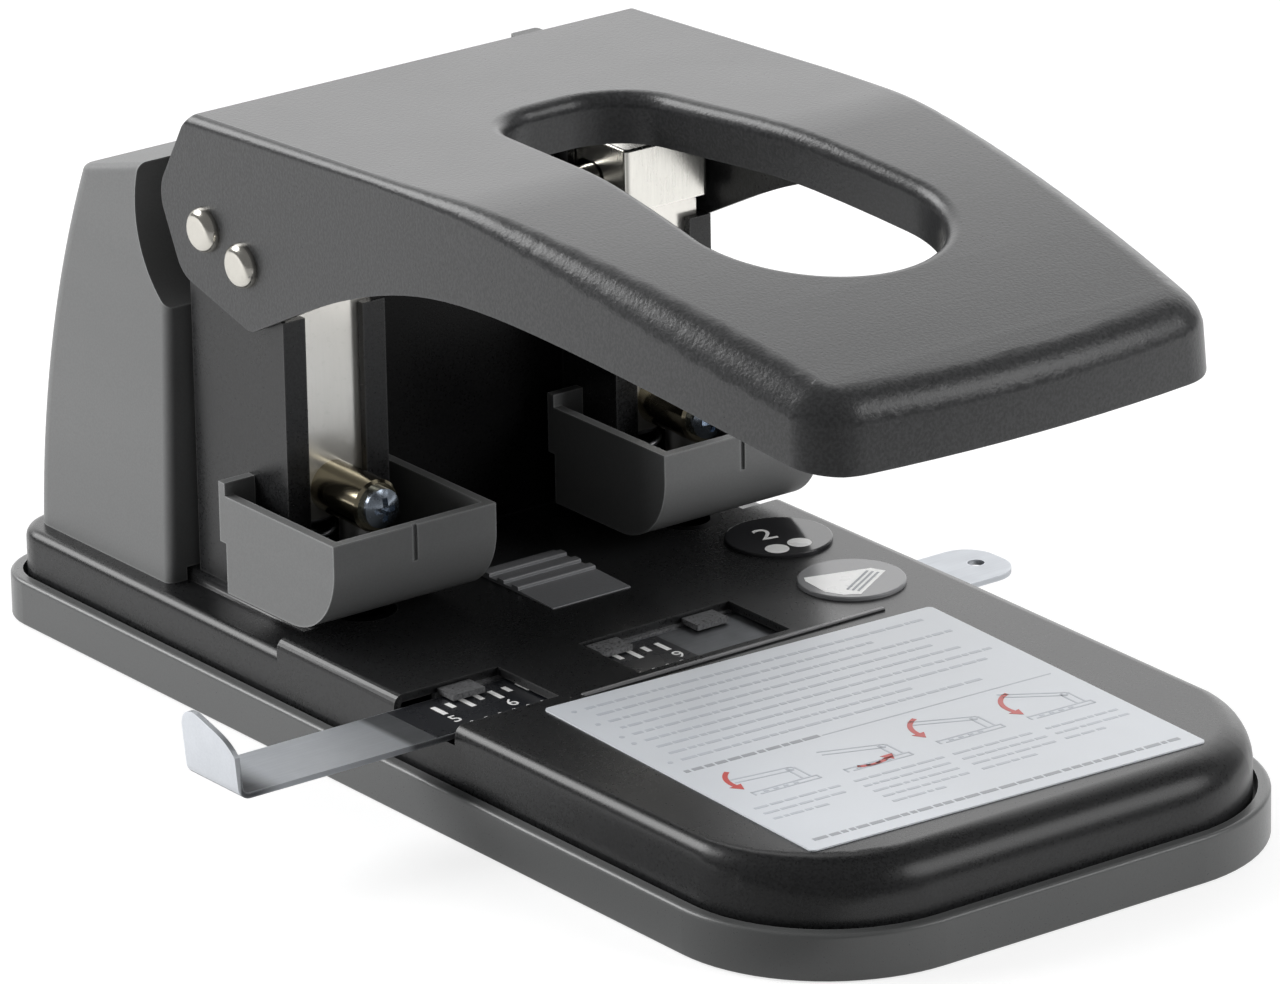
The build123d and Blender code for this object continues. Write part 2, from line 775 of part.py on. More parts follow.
def cover_form(inset, bottom):
    """Cover's outside, or its inside when inset: side view, then trimmed to its leaning sides."""
    top_front = cover_top + (cover_top_y - cover_front) * cover_top_slope
    middle = ((cover_top_y + cover_back) / 2 + cover_back_bulge, (cover_top + deck_ledge) / 2)
    tall = 2 * pivot_height
    with BuildPart() as form:
        with BuildSketch(Plane.YZ):
            with BuildLine():
                Polyline(
                    (cover_back - inset, bottom),
                    (cover_front + inset, bottom),
                    (cover_front + inset, top_front - inset),
                    (cover_top_y - inset, cover_top - inset),
                )
                ThreePointArc(
                    (cover_top_y - inset, cover_top - inset),
                    (middle[0] - inset, middle[1]),
                    (cover_back - inset, bottom),
                )
            make_face()
            with Locations((pivot_y, pivot_height)):
                Circle(cover_hollow_radius + inset, mode=Mode.SUBTRACT)
        extrude(amount=2 * cover_half_bottom, both=True)
        lean = (cover_half_bottom - cover_half_top) / (cover_top - deck_ledge)
        low_half = cover_half_bottom - inset + lean * deck_ledge
        high_half = low_half - lean * tall
        with BuildSketch(Plane.XZ):
            with BuildLine():
                Polyline((-low_half, 0), (low_half, 0), (high_half, tall), (-high_half, tall), close=True)
            make_face()
        extrude(amount=-2 * cover_back, mode=Mode.INTERSECT)
    return form.part


with BuildPart() as cover_cavity:
    add(cover_form(cover_wall, 0))
    # Two screw bosses, each tied to the back wall by a rib
    with BuildSketch(Plane.XY.offset(deck_top)):
        for x, y in cover_screws_at:
            with Locations((x, y)):
                Circle(cover_boss_diameter / 2)
            with Locations((x, (y + cover_back) / 2)):
                Rectangle(cover_wall, cover_back - y)
    extrude(amount=cover_boss_height, mode=Mode.SUBTRACT)

with BuildPart() as rear_cover:
    add(cover_form(0, deck_ledge))
    side_edges = rear_cover.edges().filter_by(
        lambda edge: abs(edge.center().X) > post_outer and edge.center().Z > cover_boss_top
    )
    back_edges = side_edges.filter_by(lambda edge: edge.center().Y > cover_top_y)
    fillet(back_edges, cover_corner_radius)
    front_edges = side_edges.filter_by(lambda edge: edge.center().Y < cover_front + cover_edge_radius)
    fillet(front_edges, cover_edge_radius)
    top_back = rear_cover.edges().filter_by(Axis.X).sort_by(SortBy.LENGTH)
    top_back = top_back.filter_by(lambda edge: abs(edge.center().Z - cover_top) < cover_edge_radius)
    fillet(top_back, cover_edge_radius)
    add(cover_cavity.part, mode=Mode.SUBTRACT)
    # The front stays open between two narrow return flanges
    mouth_half = cover_half_top - cover_wall - cover_return
    mouth_top = pivot_height - cover_hollow_radius
    with BuildSketch(Plane.XY):
        with Locations((0, cover_front)):
            Rectangle(2 * mouth_half, 4 * cover_wall)
    extrude(amount=mouth_top, mode=Mode.SUBTRACT)
    # Room for the raised middle of the deck
    with BuildSketch(Plane.XY):
        with Locations((0, cover_front)):
            Rectangle(2 * (deck_narrow + slide_gap), 4 * cover_wall)
    extrude(amount=deck_top, mode=Mode.SUBTRACT)
    # Small ear standing on the front edge of the top
    ear_y = pivot_y + cover_ear_behind_pivot
    ear_top = cover_top + (cover_top_y - ear_y) * cover_top_slope + cover_ear_rise
    with BuildSketch(Plane.XY.offset(cover_top)):
        with Locations((cover_ear_x, ear_y)):
            RectangleRounded(cover_ear_width, cover_ear_thickness, cover_ear_thickness / 3)
    extrude(amount=ear_top - cover_top)
    with Locations(*[Location((x, y, deck_top), (180, 0, 0)) for x, y in cover_screws_at]):
        Hole(screw_thread / 2 + fit_gap, depth=screw_length)
save(rear_cover.part, "rear_cover")


# Handle
def handle_plan(inset):
    """Handle seen from above: parallel sides that draw in to a bowed front edge."""
    half = handle_half - inset
    tip_half = half - handle_tip_taper
    straight_y = pivot_y - handle_straight_ahead
    tip_y = pivot_y - handle_tip_ahead + inset
    corner_y = tip_y + handle_tip_bow
    with BuildSketch() as outline:
        with BuildLine():
            Line((-half, cover_top_y), (half, cover_top_y))
            for side in (1, -1):
                straight = Line((side * half, cover_top_y), (side * half, straight_y))
                TangentArc(straight @ 1, (side * tip_half, corner_y), tangent=straight % 1)
            ThreePointArc((-tip_half, corner_y), (0, tip_y), (tip_half, corner_y))
        make_face()
        tips = outline.vertices().filter_by(lambda vertex: vertex.Y < straight_y - 1)
        fillet(tips, handle_tip_corner - inset)
    return outline.sketch


def handle_side(drop):
    """Everything under the handle's top line, seen from the side, lowered by drop."""
    rear = (cover_top_y, pivot_height + handle_rear_rise - handle_rear_slope * cover_top_behind_pivot - drop)
    crest = (pivot_y - handle_crest_ahead, pivot_height + handle_crest_rise - drop)
    middle = (pivot_y - handle_middle_ahead, pivot_height + handle_middle_rise - drop)
    tip = (pivot_y - handle_tip_ahead, pivot_height + handle_tip_rise - drop)
    with BuildSketch() as section:
        with BuildLine():
            Line(rear, crest)
            ThreePointArc(crest, middle, tip)
            Polyline(tip, (tip[0], 0), (rear[0], 0), rear)
        make_face()
        kink = section.vertices().filter_by(lambda vertex: abs(vertex.X - crest[0]) < fit_gap)
        fillet(kink, handle_crest_radius)
    return section.sketch


def handle_block(inset):
    """Solid under the handle's outer skin, or under its inner skin when inset."""
    with BuildPart() as block:
        with BuildSketch(Plane.YZ):
            add(handle_side(inset))
        extrude(amount=2 * handle_half, both=True)
        with BuildSketch():
            add(handle_plan(inset))
        extrude(amount=2 * handle_tip_ahead, mode=Mode.INTERSECT)
        rim = block.edges().filter_by(
            lambda edge: edge.bounding_box().min.Z > pivot_height
            and (abs(edge.center().X) > post_inner or edge.center().Y < pivot_y - handle_middle_ahead)
            and edge.center().Y < cover_top_y - 1
        )
        fillet(rim, handle_roll - inset)
    return block.part


def hand_hole(grow):
    """Rounded triangle of the hand hole, narrow end to the back."""
    rear_y = pivot_y - hand_hole_rear_ahead - hand_hole_rear_radius
    front_y = pivot_y - hand_hole_front_ahead + hand_hole_front_radius
    rear_x = hand_hole_rear_half - hand_hole_rear_radius
    with BuildSketch() as outline:
        with Locations((rear_x, rear_y), (-rear_x, rear_y)):
            Circle(hand_hole_rear_radius + grow)
        with Locations((0, front_y)):
            Circle(hand_hole_front_radius + grow)
        make_hull()
    return outline.sketch


def handle_trim():
    """Side view kept after trimming: arched lower edge, rounded rear lobe."""
    low = pivot_y - handle_tip_ahead - 1
    with BuildSketch() as section:
        with BuildLine():
            arch = [(pivot_y - ahead, pivot_height + rise) for ahead, rise in handle_arch]
            Spline(*arch)
            lobe = [(pivot_y + behind, pivot_height + rise) for behind, rise in handle_lobe]
            high = 2 * pivot_height
            Polyline(arch[-1], *lobe, (lobe[-1][0], high), (low, high), (low, arch[0][1]), arch[0])
        make_face()
        for place, radius in zip(lobe, handle_lobe_radii):
            corner = section.vertices().sort_by_distance((*place, 0))[0]
            fillet(corner, radius)
    return section.sketch


# The rim of the hand hole is turned down, so the hollow under the top leaves it standing
with BuildPart() as hole_rim:
    with BuildSketch():
        add(hand_hole(handle_sheet))
    extrude(amount=2 * pivot_height)
    with BuildSketch(Plane.YZ):
        add(handle_side(hand_hole_lip))
    extrude(amount=2 * handle_half, both=True, mode=Mode.SUBTRACT)
with BuildPart() as handle_inside:
    add(handle_block(handle_sheet))
    add(hole_rim.part, mode=Mode.SUBTRACT)
with BuildPart() as handle:
    add(handle_block(0))
    with BuildSketch():
        add(hand_hole(0))
    extrude(amount=2 * pivot_height, mode=Mode.SUBTRACT)
    mouth = handle.edges().filter_by(
        lambda edge: edge.center().Z > pivot_height
        and abs(edge.center().X) < post_inner + 1
        and edge.center().Y < pivot_y - hand_hole_rear_ahead + 1
        and edge.center().Y > pivot_y - hand_hole_front_ahead - 1
    )
    fillet(mouth, hand_hole_roll)
    add(handle_inside.part, mode=Mode.SUBTRACT)
    with BuildSketch(Plane.YZ):
        add(handle_trim())
    extrude(amount=2 * handle_half, both=True, mode=Mode.INTERSECT)
    with BuildSketch(Plane.YZ):
        with Locations((pivot_y, pivot_height), (drive_y, drive_z)):
            Circle(axle_diameter / 2 + fit_gap)
    extrude(amount=2 * handle_half, both=True, mode=Mode.SUBTRACT)
save(handle.part, "handle")


def axle(y, z):
    """Riveted axle across the handle, with a low domed head at each end."""
    with BuildPart() as rod:
        with BuildSketch(Plane.YZ):
            with Locations((y, z)):
                Circle(axle_diameter / 2)
        extrude(amount=handle_half, both=True)
        for side in (1, -1):
            with BuildSketch(Plane.YZ.offset(side * handle_half)):
                with Locations((y, z)):
                    Circle(rivet_head_diameter / 2)
            extrude(amount=side * rivet_head_height)
        ends = rod.faces().sort_by(Axis.X)
        fillet([*ends[0].edges(), *ends[-1].edges()], rivet_head_height * rivet_dome)
    return rod.part


save(axle(pivot_y, pivot_height), "pivot_axle")
save(axle(drive_y, drive_z), "drive_axle")

# Trim on the deck
with BuildPart() as label_plate:
    with BuildSketch(Plane.XY.offset(deck_top)):
        with Locations(Location((label_x, hole_y - label_ahead, 0), (0, 0, label_turn))):
            RectangleRounded(*label_size, label_corner)
    extrude(amount=label_thickness)
save(label_plate.part, "label_plate")

for name, (x, ahead) in zip(("rear_disc", "front_disc"), disc_places):
    with BuildPart() as disc:
        with BuildSketch(Plane.XY.offset(deck_top)):
            with Locations((x, hole_y - ahead)):
                Circle(disc_diameter / 2)
        extrude(amount=disc_thickness)
        fillet(disc.faces().sort_by(Axis.Z)[-1].edges(), disc_edge)
    save(disc.part, name)

# Ribbed pad between the guards
with BuildPart() as centre_pad:
    pad_front = hole_y - pad_front_ahead
    with BuildSketch(Plane.YZ.offset(pad_x)):
        with BuildLine():
            Polyline(
                (pad_front, deck_top),
                (pad_front + pad_length, deck_top),
                (pad_front + pad_length, deck_top + pad_base),
                (pad_front + pad_slope, deck_top + pad_base),
                (pad_front, deck_top + pad_front_edge),
                close=True,
            )
        make_face()
    extrude(amount=pad_width / 2, both=True)
    with BuildSketch(Plane.XY.offset(deck_top + pad_base)):
        rib_y = pad_front + pad_slope + pad_rib_pitch / 2
        for rib in range(pad_ribs):
            with Locations((pad_x, rib_y + rib * pad_rib_pitch)):
                Rectangle(pad_width, pad_rib_width)
    extrude(amount=pad_rib_height)
    fillet(centre_pad.edges().filter_by(Axis.X).group_by(Axis.Z)[-1], pad_rib_height / 2)
save(centre_pad.part, "centre_pad")
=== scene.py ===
"""Finishes, printed marks and studio for a heavy-duty two-hole desk punch.

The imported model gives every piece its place. This file gives the pieces their finishes, adds the
prints on the gauge, the label and the discs, and sets up floor, lamps and camera.
"""

import json
from math import atan2, cos, pi, radians, sin
from random import Random

import bmesh
import bpy
import numpy as np
from bpy.props import FloatProperty, FloatVectorProperty, PointerProperty
from mathutils import Matrix, Vector
from mathutils.geometry import convex_hull_2d


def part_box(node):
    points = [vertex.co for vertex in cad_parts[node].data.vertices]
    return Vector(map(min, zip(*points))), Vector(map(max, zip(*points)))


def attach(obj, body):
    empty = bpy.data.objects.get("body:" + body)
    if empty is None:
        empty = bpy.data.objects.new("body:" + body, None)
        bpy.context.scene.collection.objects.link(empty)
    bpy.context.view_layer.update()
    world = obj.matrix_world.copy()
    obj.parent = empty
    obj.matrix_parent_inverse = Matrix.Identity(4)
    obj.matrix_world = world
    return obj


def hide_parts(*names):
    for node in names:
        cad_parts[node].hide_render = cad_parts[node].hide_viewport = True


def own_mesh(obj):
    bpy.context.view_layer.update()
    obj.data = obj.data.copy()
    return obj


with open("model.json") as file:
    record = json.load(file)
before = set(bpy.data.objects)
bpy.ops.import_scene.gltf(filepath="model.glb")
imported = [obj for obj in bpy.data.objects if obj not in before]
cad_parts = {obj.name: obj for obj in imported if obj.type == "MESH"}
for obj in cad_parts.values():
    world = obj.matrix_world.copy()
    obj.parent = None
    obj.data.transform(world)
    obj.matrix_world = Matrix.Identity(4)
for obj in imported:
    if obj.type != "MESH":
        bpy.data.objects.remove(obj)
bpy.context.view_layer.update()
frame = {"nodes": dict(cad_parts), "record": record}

bl_info = {
    "name": "Desk punch finishes",
    "version": (1, 0, 0),
    "blender": (4, 5, 0),
    "location": "View3D > Sidebar > Desk punch",
    "description": "Finishes, prints and studio for a two-hole desk punch",
    "category": "Object",
}

MM = 0.001
SIDES = ("left", "right")

# Sizes of the clouds, streaks and specks in the finishes, in metres
COAT_CLOUDS = 0.018
SATIN_CLOUDS = 0.022
DUST_SPECKS = 0.00032
PLASTIC_FLOW = 0.03
PLATING_STREAKS = 0.0005
PLATING_CLOUDS = 0.007
PLATING_SPOTS = 0.0011
INK_PINHOLES = 0.00018
INK_CLOUDS = 0.004
FILM_WAVES = 0.012
FILM_FIBRES = 0.0004
PAPER_FIBRES = 0.004

# Noise values between which a coat's grains rise; grey of dust; grey of edges that are rubbed and lightened
# as a painted highlight; grey of the ridges' painted highlight
GRAIN_RISE = (0.36, 0.66)
DUST_GREY = (0.20, 0.20, 0.20, 1.0)
EDGE_WEAR_SHEEN_GREY = (0.085, 0.085, 0.085, 1.0)
RIDGE_HIGHLIGHT_GREY = (0.19, 0.19, 0.195, 1.0)

# Streak directions of the plated pieces: noise is stretched along the small number
ALONG_Z = (1.0, 1.0, 0.08)
ALONG_Y = (1.0, 0.1, 1.0)
ACROSS_Z = (0.1, 0.1, 1.0)
NO_STREAK = (1.0, 1.0, 1.0)

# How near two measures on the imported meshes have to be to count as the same
SLACK = 0.001 * MM
SKIN_SLACK = 0.02 * MM
EDGE_SLACK = 0.01 * MM

# Faces that meet at more than this stay sharp on the rolled sheets
SHARP_ANGLE = radians(28)


def colour_setting(name, description, default):
    """A colour that a user may change."""
    return FloatVectorProperty(
        name=name, description=description, default=default, subtype="COLOR", size=3, min=0.0, max=1.0
    )


def length_setting(name, description, default):
    """A length in metres that a user may change."""
    return FloatProperty(
        name=name, description=description, default=default, subtype="DISTANCE", unit="LENGTH", precision=5
    )


def angle_setting(name, description, degrees):
    """An angle that a user may change."""
    return FloatProperty(name=name, description=description, default=radians(degrees), subtype="ANGLE")


def level_setting(name, description, default, subtype="NONE"):
    """A plain number that a user may change."""
    return FloatProperty(name=name, description=description, default=default, subtype=subtype)


class PunchColours(bpy.types.PropertyGroup):
    """Colours of the coatings, metals, plastics and inks."""

    handle_coat: colour_setting("Handle coat", "Grained coat of the handle", (0.028, 0.0285, 0.0295))
    deck_coat: colour_setting("Deck coat", "Satin black of deck and posts", (0.0115, 0.0117, 0.0122))
    track_coat: colour_setting("Track coat", "Worn grey of the gauge's track", (0.100, 0.101, 0.104))
    inner_coat: colour_setting("Inner coat", "Dull black of the cross plate", (0.0040, 0.0040, 0.0042))
    tray_plastic: colour_setting("Tray plastic", "Chip tray", (0.081, 0.083, 0.083))
    grey_plastic: colour_setting("Grey plastic", "Guards and rear cover", (0.138, 0.140, 0.140))
    pad_plastic: colour_setting("Pad plastic", "Ribbed pad between the guards", (0.155, 0.157, 0.163))
    nickel: colour_setting("Nickel", "Warm bright plating of the carriers", (0.99, 0.965, 0.905))
    head_nickel: colour_setting("Head nickel", "Plating of the carriers' heads", (0.80, 0.785, 0.735))
    rivet: colour_setting("Rivet", "Bright rivet heads", (0.63, 0.61, 0.56))
    zinc: colour_setting("Zinc", "Bluish plating of the gauge", (0.78, 0.81, 0.855))
    yellow_zinc: colour_setting("Yellow zinc", "Plating of the pin holders", (0.46, 0.41, 0.29))
    screw_zinc: colour_setting("Screw zinc", "Bluish plating of the screws", (0.42, 0.48, 0.56))
    tool_steel: colour_setting("Tool steel", "Ground punch pins", (0.52, 0.51, 0.50))
    die_steel: colour_setting("Die steel", "Blackened die bushes", (0.060, 0.060, 0.064))
    spring_steel: colour_setting("Spring steel", "Return springs", (0.30, 0.30, 0.31))
    label_film: colour_setting("Label film", "Pale film of the label", (0.588, 0.613, 0.648))
    disc_dark: colour_setting("Dark disc", "Ground of the rear disc", (0.020, 0.020, 0.022))
    disc_pale: colour_setting("Pale disc", "Ground of the front disc", (0.200, 0.202, 0.208))
    ink_dark: colour_setting("Dark ink", "Dark prints", (0.012, 0.013, 0.016))
    ink_grey: colour_setting("Grey ink", "Lines on the label", (0.455, 0.48, 0.525))
    ink_bold: colour_setting("Bold ink", "Heavy lines on the label", (0.31, 0.325, 0.35))
    ink_red: colour_setting("Red ink", "Pointers on the label", (0.50, 0.055, 0.045))
    ink_white: colour_setting("White ink", "Marks on gauge and discs", (0.90, 0.90, 0.89))


class PunchSizes(bpy.types.PropertyGroup):
    """Sizes of grain, prints, wear, painted highlight and painted shade."""

    handle_grain: length_setting("Handle grain", "Size of the grains in the handle's coat", 0.00055)
    handle_roll: length_setting("Packed roll", "Radius of the handle's rolled edge as packed", 0.0032)
    rear_roll: length_setting("Rear roll", "Radius of the rolled edge at the handle's rear", 0.0019)
    tip_roll: length_setting("Tip roll", "Radius of the rolled edge at the handle's tip", 0.0072)
    deck_grain: length_setting("Deck grain", "Size of the grains in the deck's coat", 0.00045)
    deck_top: length_setting("Deck height", "Height of the deck's flat top", 0.0188)
    deck_sheet: length_setting("Deck sheet", "Thickness of the deck's sheet", 0.0015)
    deck_step: length_setting("Deck step", "Place of the step between deck and rear ledges", 0.031)
    ledge_drop: length_setting("Ledge drop", "Height of that step", 0.0024)
    deck_roll: length_setting("Packed deck roll", "Radius of the deck's rolled rim as packed", 0.007)
    ledge_roll: length_setting("Packed ledge roll", "Radius of the ledges' rolled rim as packed", 0.005)
    side_roll: length_setting("Side roll", "Radius of the rolled rim along the deck's sides", 0.002)
    plastic_grain: length_setting("Plastic grain", "Size of the moulded texture", 0.00035)
    # Width of the edge band that is rubbed and lightened as a painted highlight
    edge_wear_and_sheen: length_setting("Edge wear", "Width of the rubbed edges", 0.0006)
    print_height: length_setting("Print height", "Height of the printed marks", 0.00004)
    tab_corner: length_setting("Tab corner", "Radius of the tab's corners as packed", 0.0035)
    tab_slope: length_setting("Tab slope", "Length of the sloped edge on the gauge's tab", 0.0106)
    tab_fall: length_setting("Tab fall", "Height that the sloped edge loses", 0.0048)
    tab_lean: length_setting("Tab lean", "How far the tab's foot stands in from its top", 0.0012)
    # Ends of the gauge strip's run that is darkened as painted shade
    shaded_run_left: length_setting("Oiled left", "Left end of the gauge's oiled run", -0.0625)
    shaded_run_right: length_setting("Oiled right", "Right end of the gauge's oiled run", 0.0535)
    tick_pitch: length_setting("Tick pitch", "Distance from tick to tick on the gauge", 0.00293)


class PunchStage(bpy.types.PropertyGroup):
    """Camera and light."""

    camera_place: FloatVectorProperty(
        name="Camera", description="Place of the camera", default=(-0.95061, -1.28332, 0.63230),
        subtype="TRANSLATION", unit="LENGTH", size=3,
    )
    azimuth: angle_setting("Azimuth", "Turn of the camera about the upright", -36.53)
    elevation: angle_setting("Elevation", "Camera above the horizon", 20.30)
    roll: angle_setting("Roll", "Tilt of the picture", -1.05)
    lens: level_setting("Lens", "Focal length in millimetres", 281.25)
    left_power: level_setting("Left lamp", "Power of the lamp at the left", 6.8, "POWER")
    right_power: level_setting("Right lamp", "Power of the lamp at the right", 6.0, "POWER")
    room_level: level_setting("Room", "Light from all round", 0.20)
    back_level: level_setting("Back", "Light from the bright wall behind", 1.65)
    left_level: level_setting("Left", "Light from the screen at the left", 7.6)
    right_level: level_setting("Right", "Light from the screen at the right", 3.4)


class Signal:
    """A number socket that takes part in Python expressions; each operator adds a Math node."""

    def __init__(self, tree, socket):
        self.tree = tree
        self.socket = socket

    def math(self, operation, first, second):
        node = self.tree.nodes.new("ShaderNodeMath")
        node.operation = operation
        for place, value in zip(node.inputs, (first, second)):
            if isinstance(value, Signal):
                self.tree.links.new(value.socket, place)
            else:
                place.default_value = value
        return Signal(self.tree, node.outputs[0])

    def __add__(self, other):
        return self.math("ADD", self, other)

    def __radd__(self, other):
        return self.math("ADD", other, self)

    def __sub__(self, other):
        return self.math("SUBTRACT", self, other)

    def __rsub__(self, other):
        return self.math("SUBTRACT", other, self)

    def __mul__(self, other):
        return self.math("MULTIPLY", self, other)

    def __rmul__(self, other):
        return self.math("MULTIPLY", other, self)


class NodeWork:
    """A node tree and the one call that adds nodes to it."""

    def __init__(self, tree):
        self.tree = tree

    def feed(self, place, value):
        """Link a signal to a socket, or set the socket's own value."""
        if isinstance(value, Signal):
            self.tree.links.new(value.socket, place)
        else:
            place.default_value = value

    def node(self, kind, settings=None, sockets=None, output=0):
        """Add a node: its settings first, then its sockets' values or links."""
        node = self.tree.nodes.new(kind)
        for name, value in (settings or {}).items():
            setattr(node, name, value)
        for name, value in (sockets or {}).items():
            self.feed(node.inputs[name], value)
        return Signal(self.tree, node.outputs[output])


class Finish(NodeWork):
    """A material under work: a shader with the layers that feed it."""

    def __init__(self, name, constants=None):
        self.material = bpy.data.materials.new(name)
        self.material.use_nodes = True
        super().__init__(self.material.node_tree)
        self.shader = self.tree.nodes["Principled BSDF"]
        for socket, value in (constants or {}).items():
            self.shader.inputs[socket].default_value = value
        self.place = self.node("ShaderNodeTexCoord", output="Object")

    def axis(self, letter):
        """One of the surface's three coordinates."""
        return self.node("ShaderNodeSeparateXYZ", None, {"Vector": self.place}, letter)

    def stretched(self, x, y, z):
        """The surface's coordinates, multiplied along each axis."""
        return self.node("ShaderNodeVectorMath", {"operation": "MULTIPLY"}, {0: self.place, 1: (x, y, z)})

    def speckle(self, size, detail=2.0, place=None):
        """Cloudy noise from 0 to 1 with grains of a given size."""
        sockets = {"Vector": place or self.place, "Scale": 1.0 / size, "Detail": detail}
        return self.node("ShaderNodeTexNoise", None, sockets, "Fac")

    def step(self, value, low, high):
        """Rises smoothly from 0 to 1 as the value goes from low to high."""
        sockets = {"Value": value, "From Min": low, "From Max": high}
        return self.node("ShaderNodeMapRange", {"interpolation_type": "SMOOTHSTEP"}, sockets)

    def band(self, value, rise, fall):
        """1 between two soft limits, each given by its start and end."""
        return self.step(value, *rise) * (1.0 - self.step(value, *fall))

    def blend(self, amount, first, second):
        """One colour over another."""
        sockets = {0: amount, 6: first, 7: second}
        return self.node("ShaderNodeMix", {"data_type": "RGBA"}, sockets, 2)

    def edges(self, width):
        """1 along sharp edges, 0 elsewhere."""
        rounded = self.node("ShaderNodeBevel", {"samples": 4}, {"Radius": width})
        true = self.node("ShaderNodeNewGeometry", output="Normal")
        same = self.node("ShaderNodeVectorMath", {"operation": "DOT_PRODUCT"}, {0: rounded, 1: true}, "Value")
        square, turned = 0.995, 0.90
        return self.step(same, square, turned)

    def relief(self, height, distance, strength=1.0):
        """Bump from a height signal."""
        sockets = {"Height": height, "Distance": distance, "Strength": strength}
        self.feed(self.shader.inputs["Normal"], self.node("ShaderNodeBump", None, sockets))

    def colour(self, value):
        self.feed(self.shader.inputs["Base Color"], value)

    def roughness(self, value):
        self.feed(self.shader.inputs["Roughness"], value)


def rgba(colour, gain=1.0):
    """A colour setting as the four numbers that a node takes."""
    return (colour[0] * gain, colour[1] * gain, colour[2] * gain, 1.0)


def settings():
    """The scene's colours, sizes and stage."""
    scene = bpy.context.scene
    return scene.punch_colours, scene.punch_sizes, scene.punch_stage


def grained_coat(name, colour, grain, wear_and_sheen):
    """Dark coating with a fine raised grain, rubbed a little along the edges and lightened there as a painted
    highlight.
    """
    finish = Finish(name, {"Specular IOR Level": 0.46})
    grains = finish.speckle(grain, 3.0)
    clouds = finish.speckle(COAT_CLOUDS, 3.0)
    tint = finish.blend(finish.step(grains, *GRAIN_RISE), rgba(colour, 0.74), rgba(colour, 1.28))
    tint = finish.blend(clouds * 0.16, tint, rgba(colour, 1.7))
    # Edges rubbed and lightened: partly wear, partly painted highlight
    tint = finish.blend(finish.edges(wear_and_sheen) * 0.35, tint, rgba(colour, 3.0))
    finish.colour(tint)
    finish.roughness(0.22 + grains * 0.12 + clouds * 0.05)
    finish.relief(grains, 0.00009, 0.55)
    return finish.material


def satin_coat(name, colour, grain, wear_and_sheen, specular=0.38, highlight_above=None):
    """Stoved black with a soft fine grain, faint dust, edges rubbed and lightened as a painted highlight, and
    a painted highlight above a given height.
    """
    finish = Finish(name, {"Specular IOR Level": specular})
    grains = finish.speckle(grain, 2.0)
    dust = finish.step(finish.speckle(DUST_SPECKS, 1.0), 0.66, 0.80)
    clouds = finish.speckle(SATIN_CLOUDS, 3.0)
    tint = finish.blend(finish.step(grains, *GRAIN_RISE), rgba(colour, 0.7), rgba(colour, 1.4))
    tint = finish.blend(dust * 0.03, tint, DUST_GREY)
    tint = finish.blend(clouds * 0.25, tint, rgba(colour, 1.6))
    # Edges rubbed and lightened: partly wear, partly painted highlight
    tint = finish.blend(finish.edges(wear_and_sheen) * 0.4, tint, EDGE_WEAR_SHEEN_GREY)
    if highlight_above is not None:
        # Painted highlight: the coat turns paler above the given height, on the ridges
        ridge_highlight = finish.step(finish.axis("Z"), highlight_above, highlight_above + 0.15 * MM)
        tint = finish.blend(ridge_highlight * (0.5 + clouds * 0.5), tint, RIDGE_HIGHLIGHT_GREY)
    finish.colour(tint)
    finish.roughness(0.22 + grains * 0.08 + clouds * 0.05 + dust * 0.03)
    finish.relief(grains, 0.00003, 0.35)
    return finish.material


def moulded_plastic(name, colour, grain, wear_and_sheen, base_roughness=0.40):
    """Moulded plastic with a fine spark-eroded texture and edges lightened as a painted highlight, partly
    wear.
    """
    finish = Finish(name)
    grains = finish.speckle(grain, 2.0)
    flow = finish.speckle(PLASTIC_FLOW, 2.0, finish.stretched(1.0, 0.35, 2.2))
    tint = finish.blend(flow, rgba(colour, 0.90), rgba(colour, 1.10))
    tint = finish.blend(finish.step(grains, 0.40, 0.62) * 0.30, tint, rgba(colour, 0.80))
    # Edges lightened as a painted highlight, partly wear
    tint = finish.blend(finish.edges(wear_and_sheen) * 0.6, tint, rgba(colour, 2.3))
    finish.colour(tint)
    finish.roughness(base_roughness + grains * 0.16 + flow * 0.05)
    finish.relief(grains, 0.00003, 0.35)
    return finish.material


def plated_metal(name, colour, base_roughness, streak=ALONG_Z, mottle=0.35, metallic=1.0):
    """Plated steel with fine streaks, cloudy passivation and a painted highlight along the edges."""
    finish = Finish(name, {"Metallic": metallic})
    streaks = finish.speckle(PLATING_STREAKS, 2.0, finish.stretched(*streak))
    clouds = finish.speckle(PLATING_CLOUDS, 3.0)
    spots = finish.step(finish.speckle(PLATING_SPOTS, 2.0), 0.60, 0.74)
    tint = finish.blend(clouds * mottle, rgba(colour), rgba(colour, 0.70))
    tint = finish.blend(streaks * 0.16, tint, rgba(colour, 0.62))
    tint = finish.blend(spots * 0.10, tint, rgba(colour, 0.45))
    # Painted highlight along the edges
    tint = finish.blend(finish.edges(0.5 * MM) * 0.5, tint, rgba(colour, 1.15))
    finish.colour(tint)
    finish.roughness(base_roughness + streaks * 0.12 + clouds * 0.10)
    finish.relief(streaks, 0.000008, 0.35)
    return finish.material


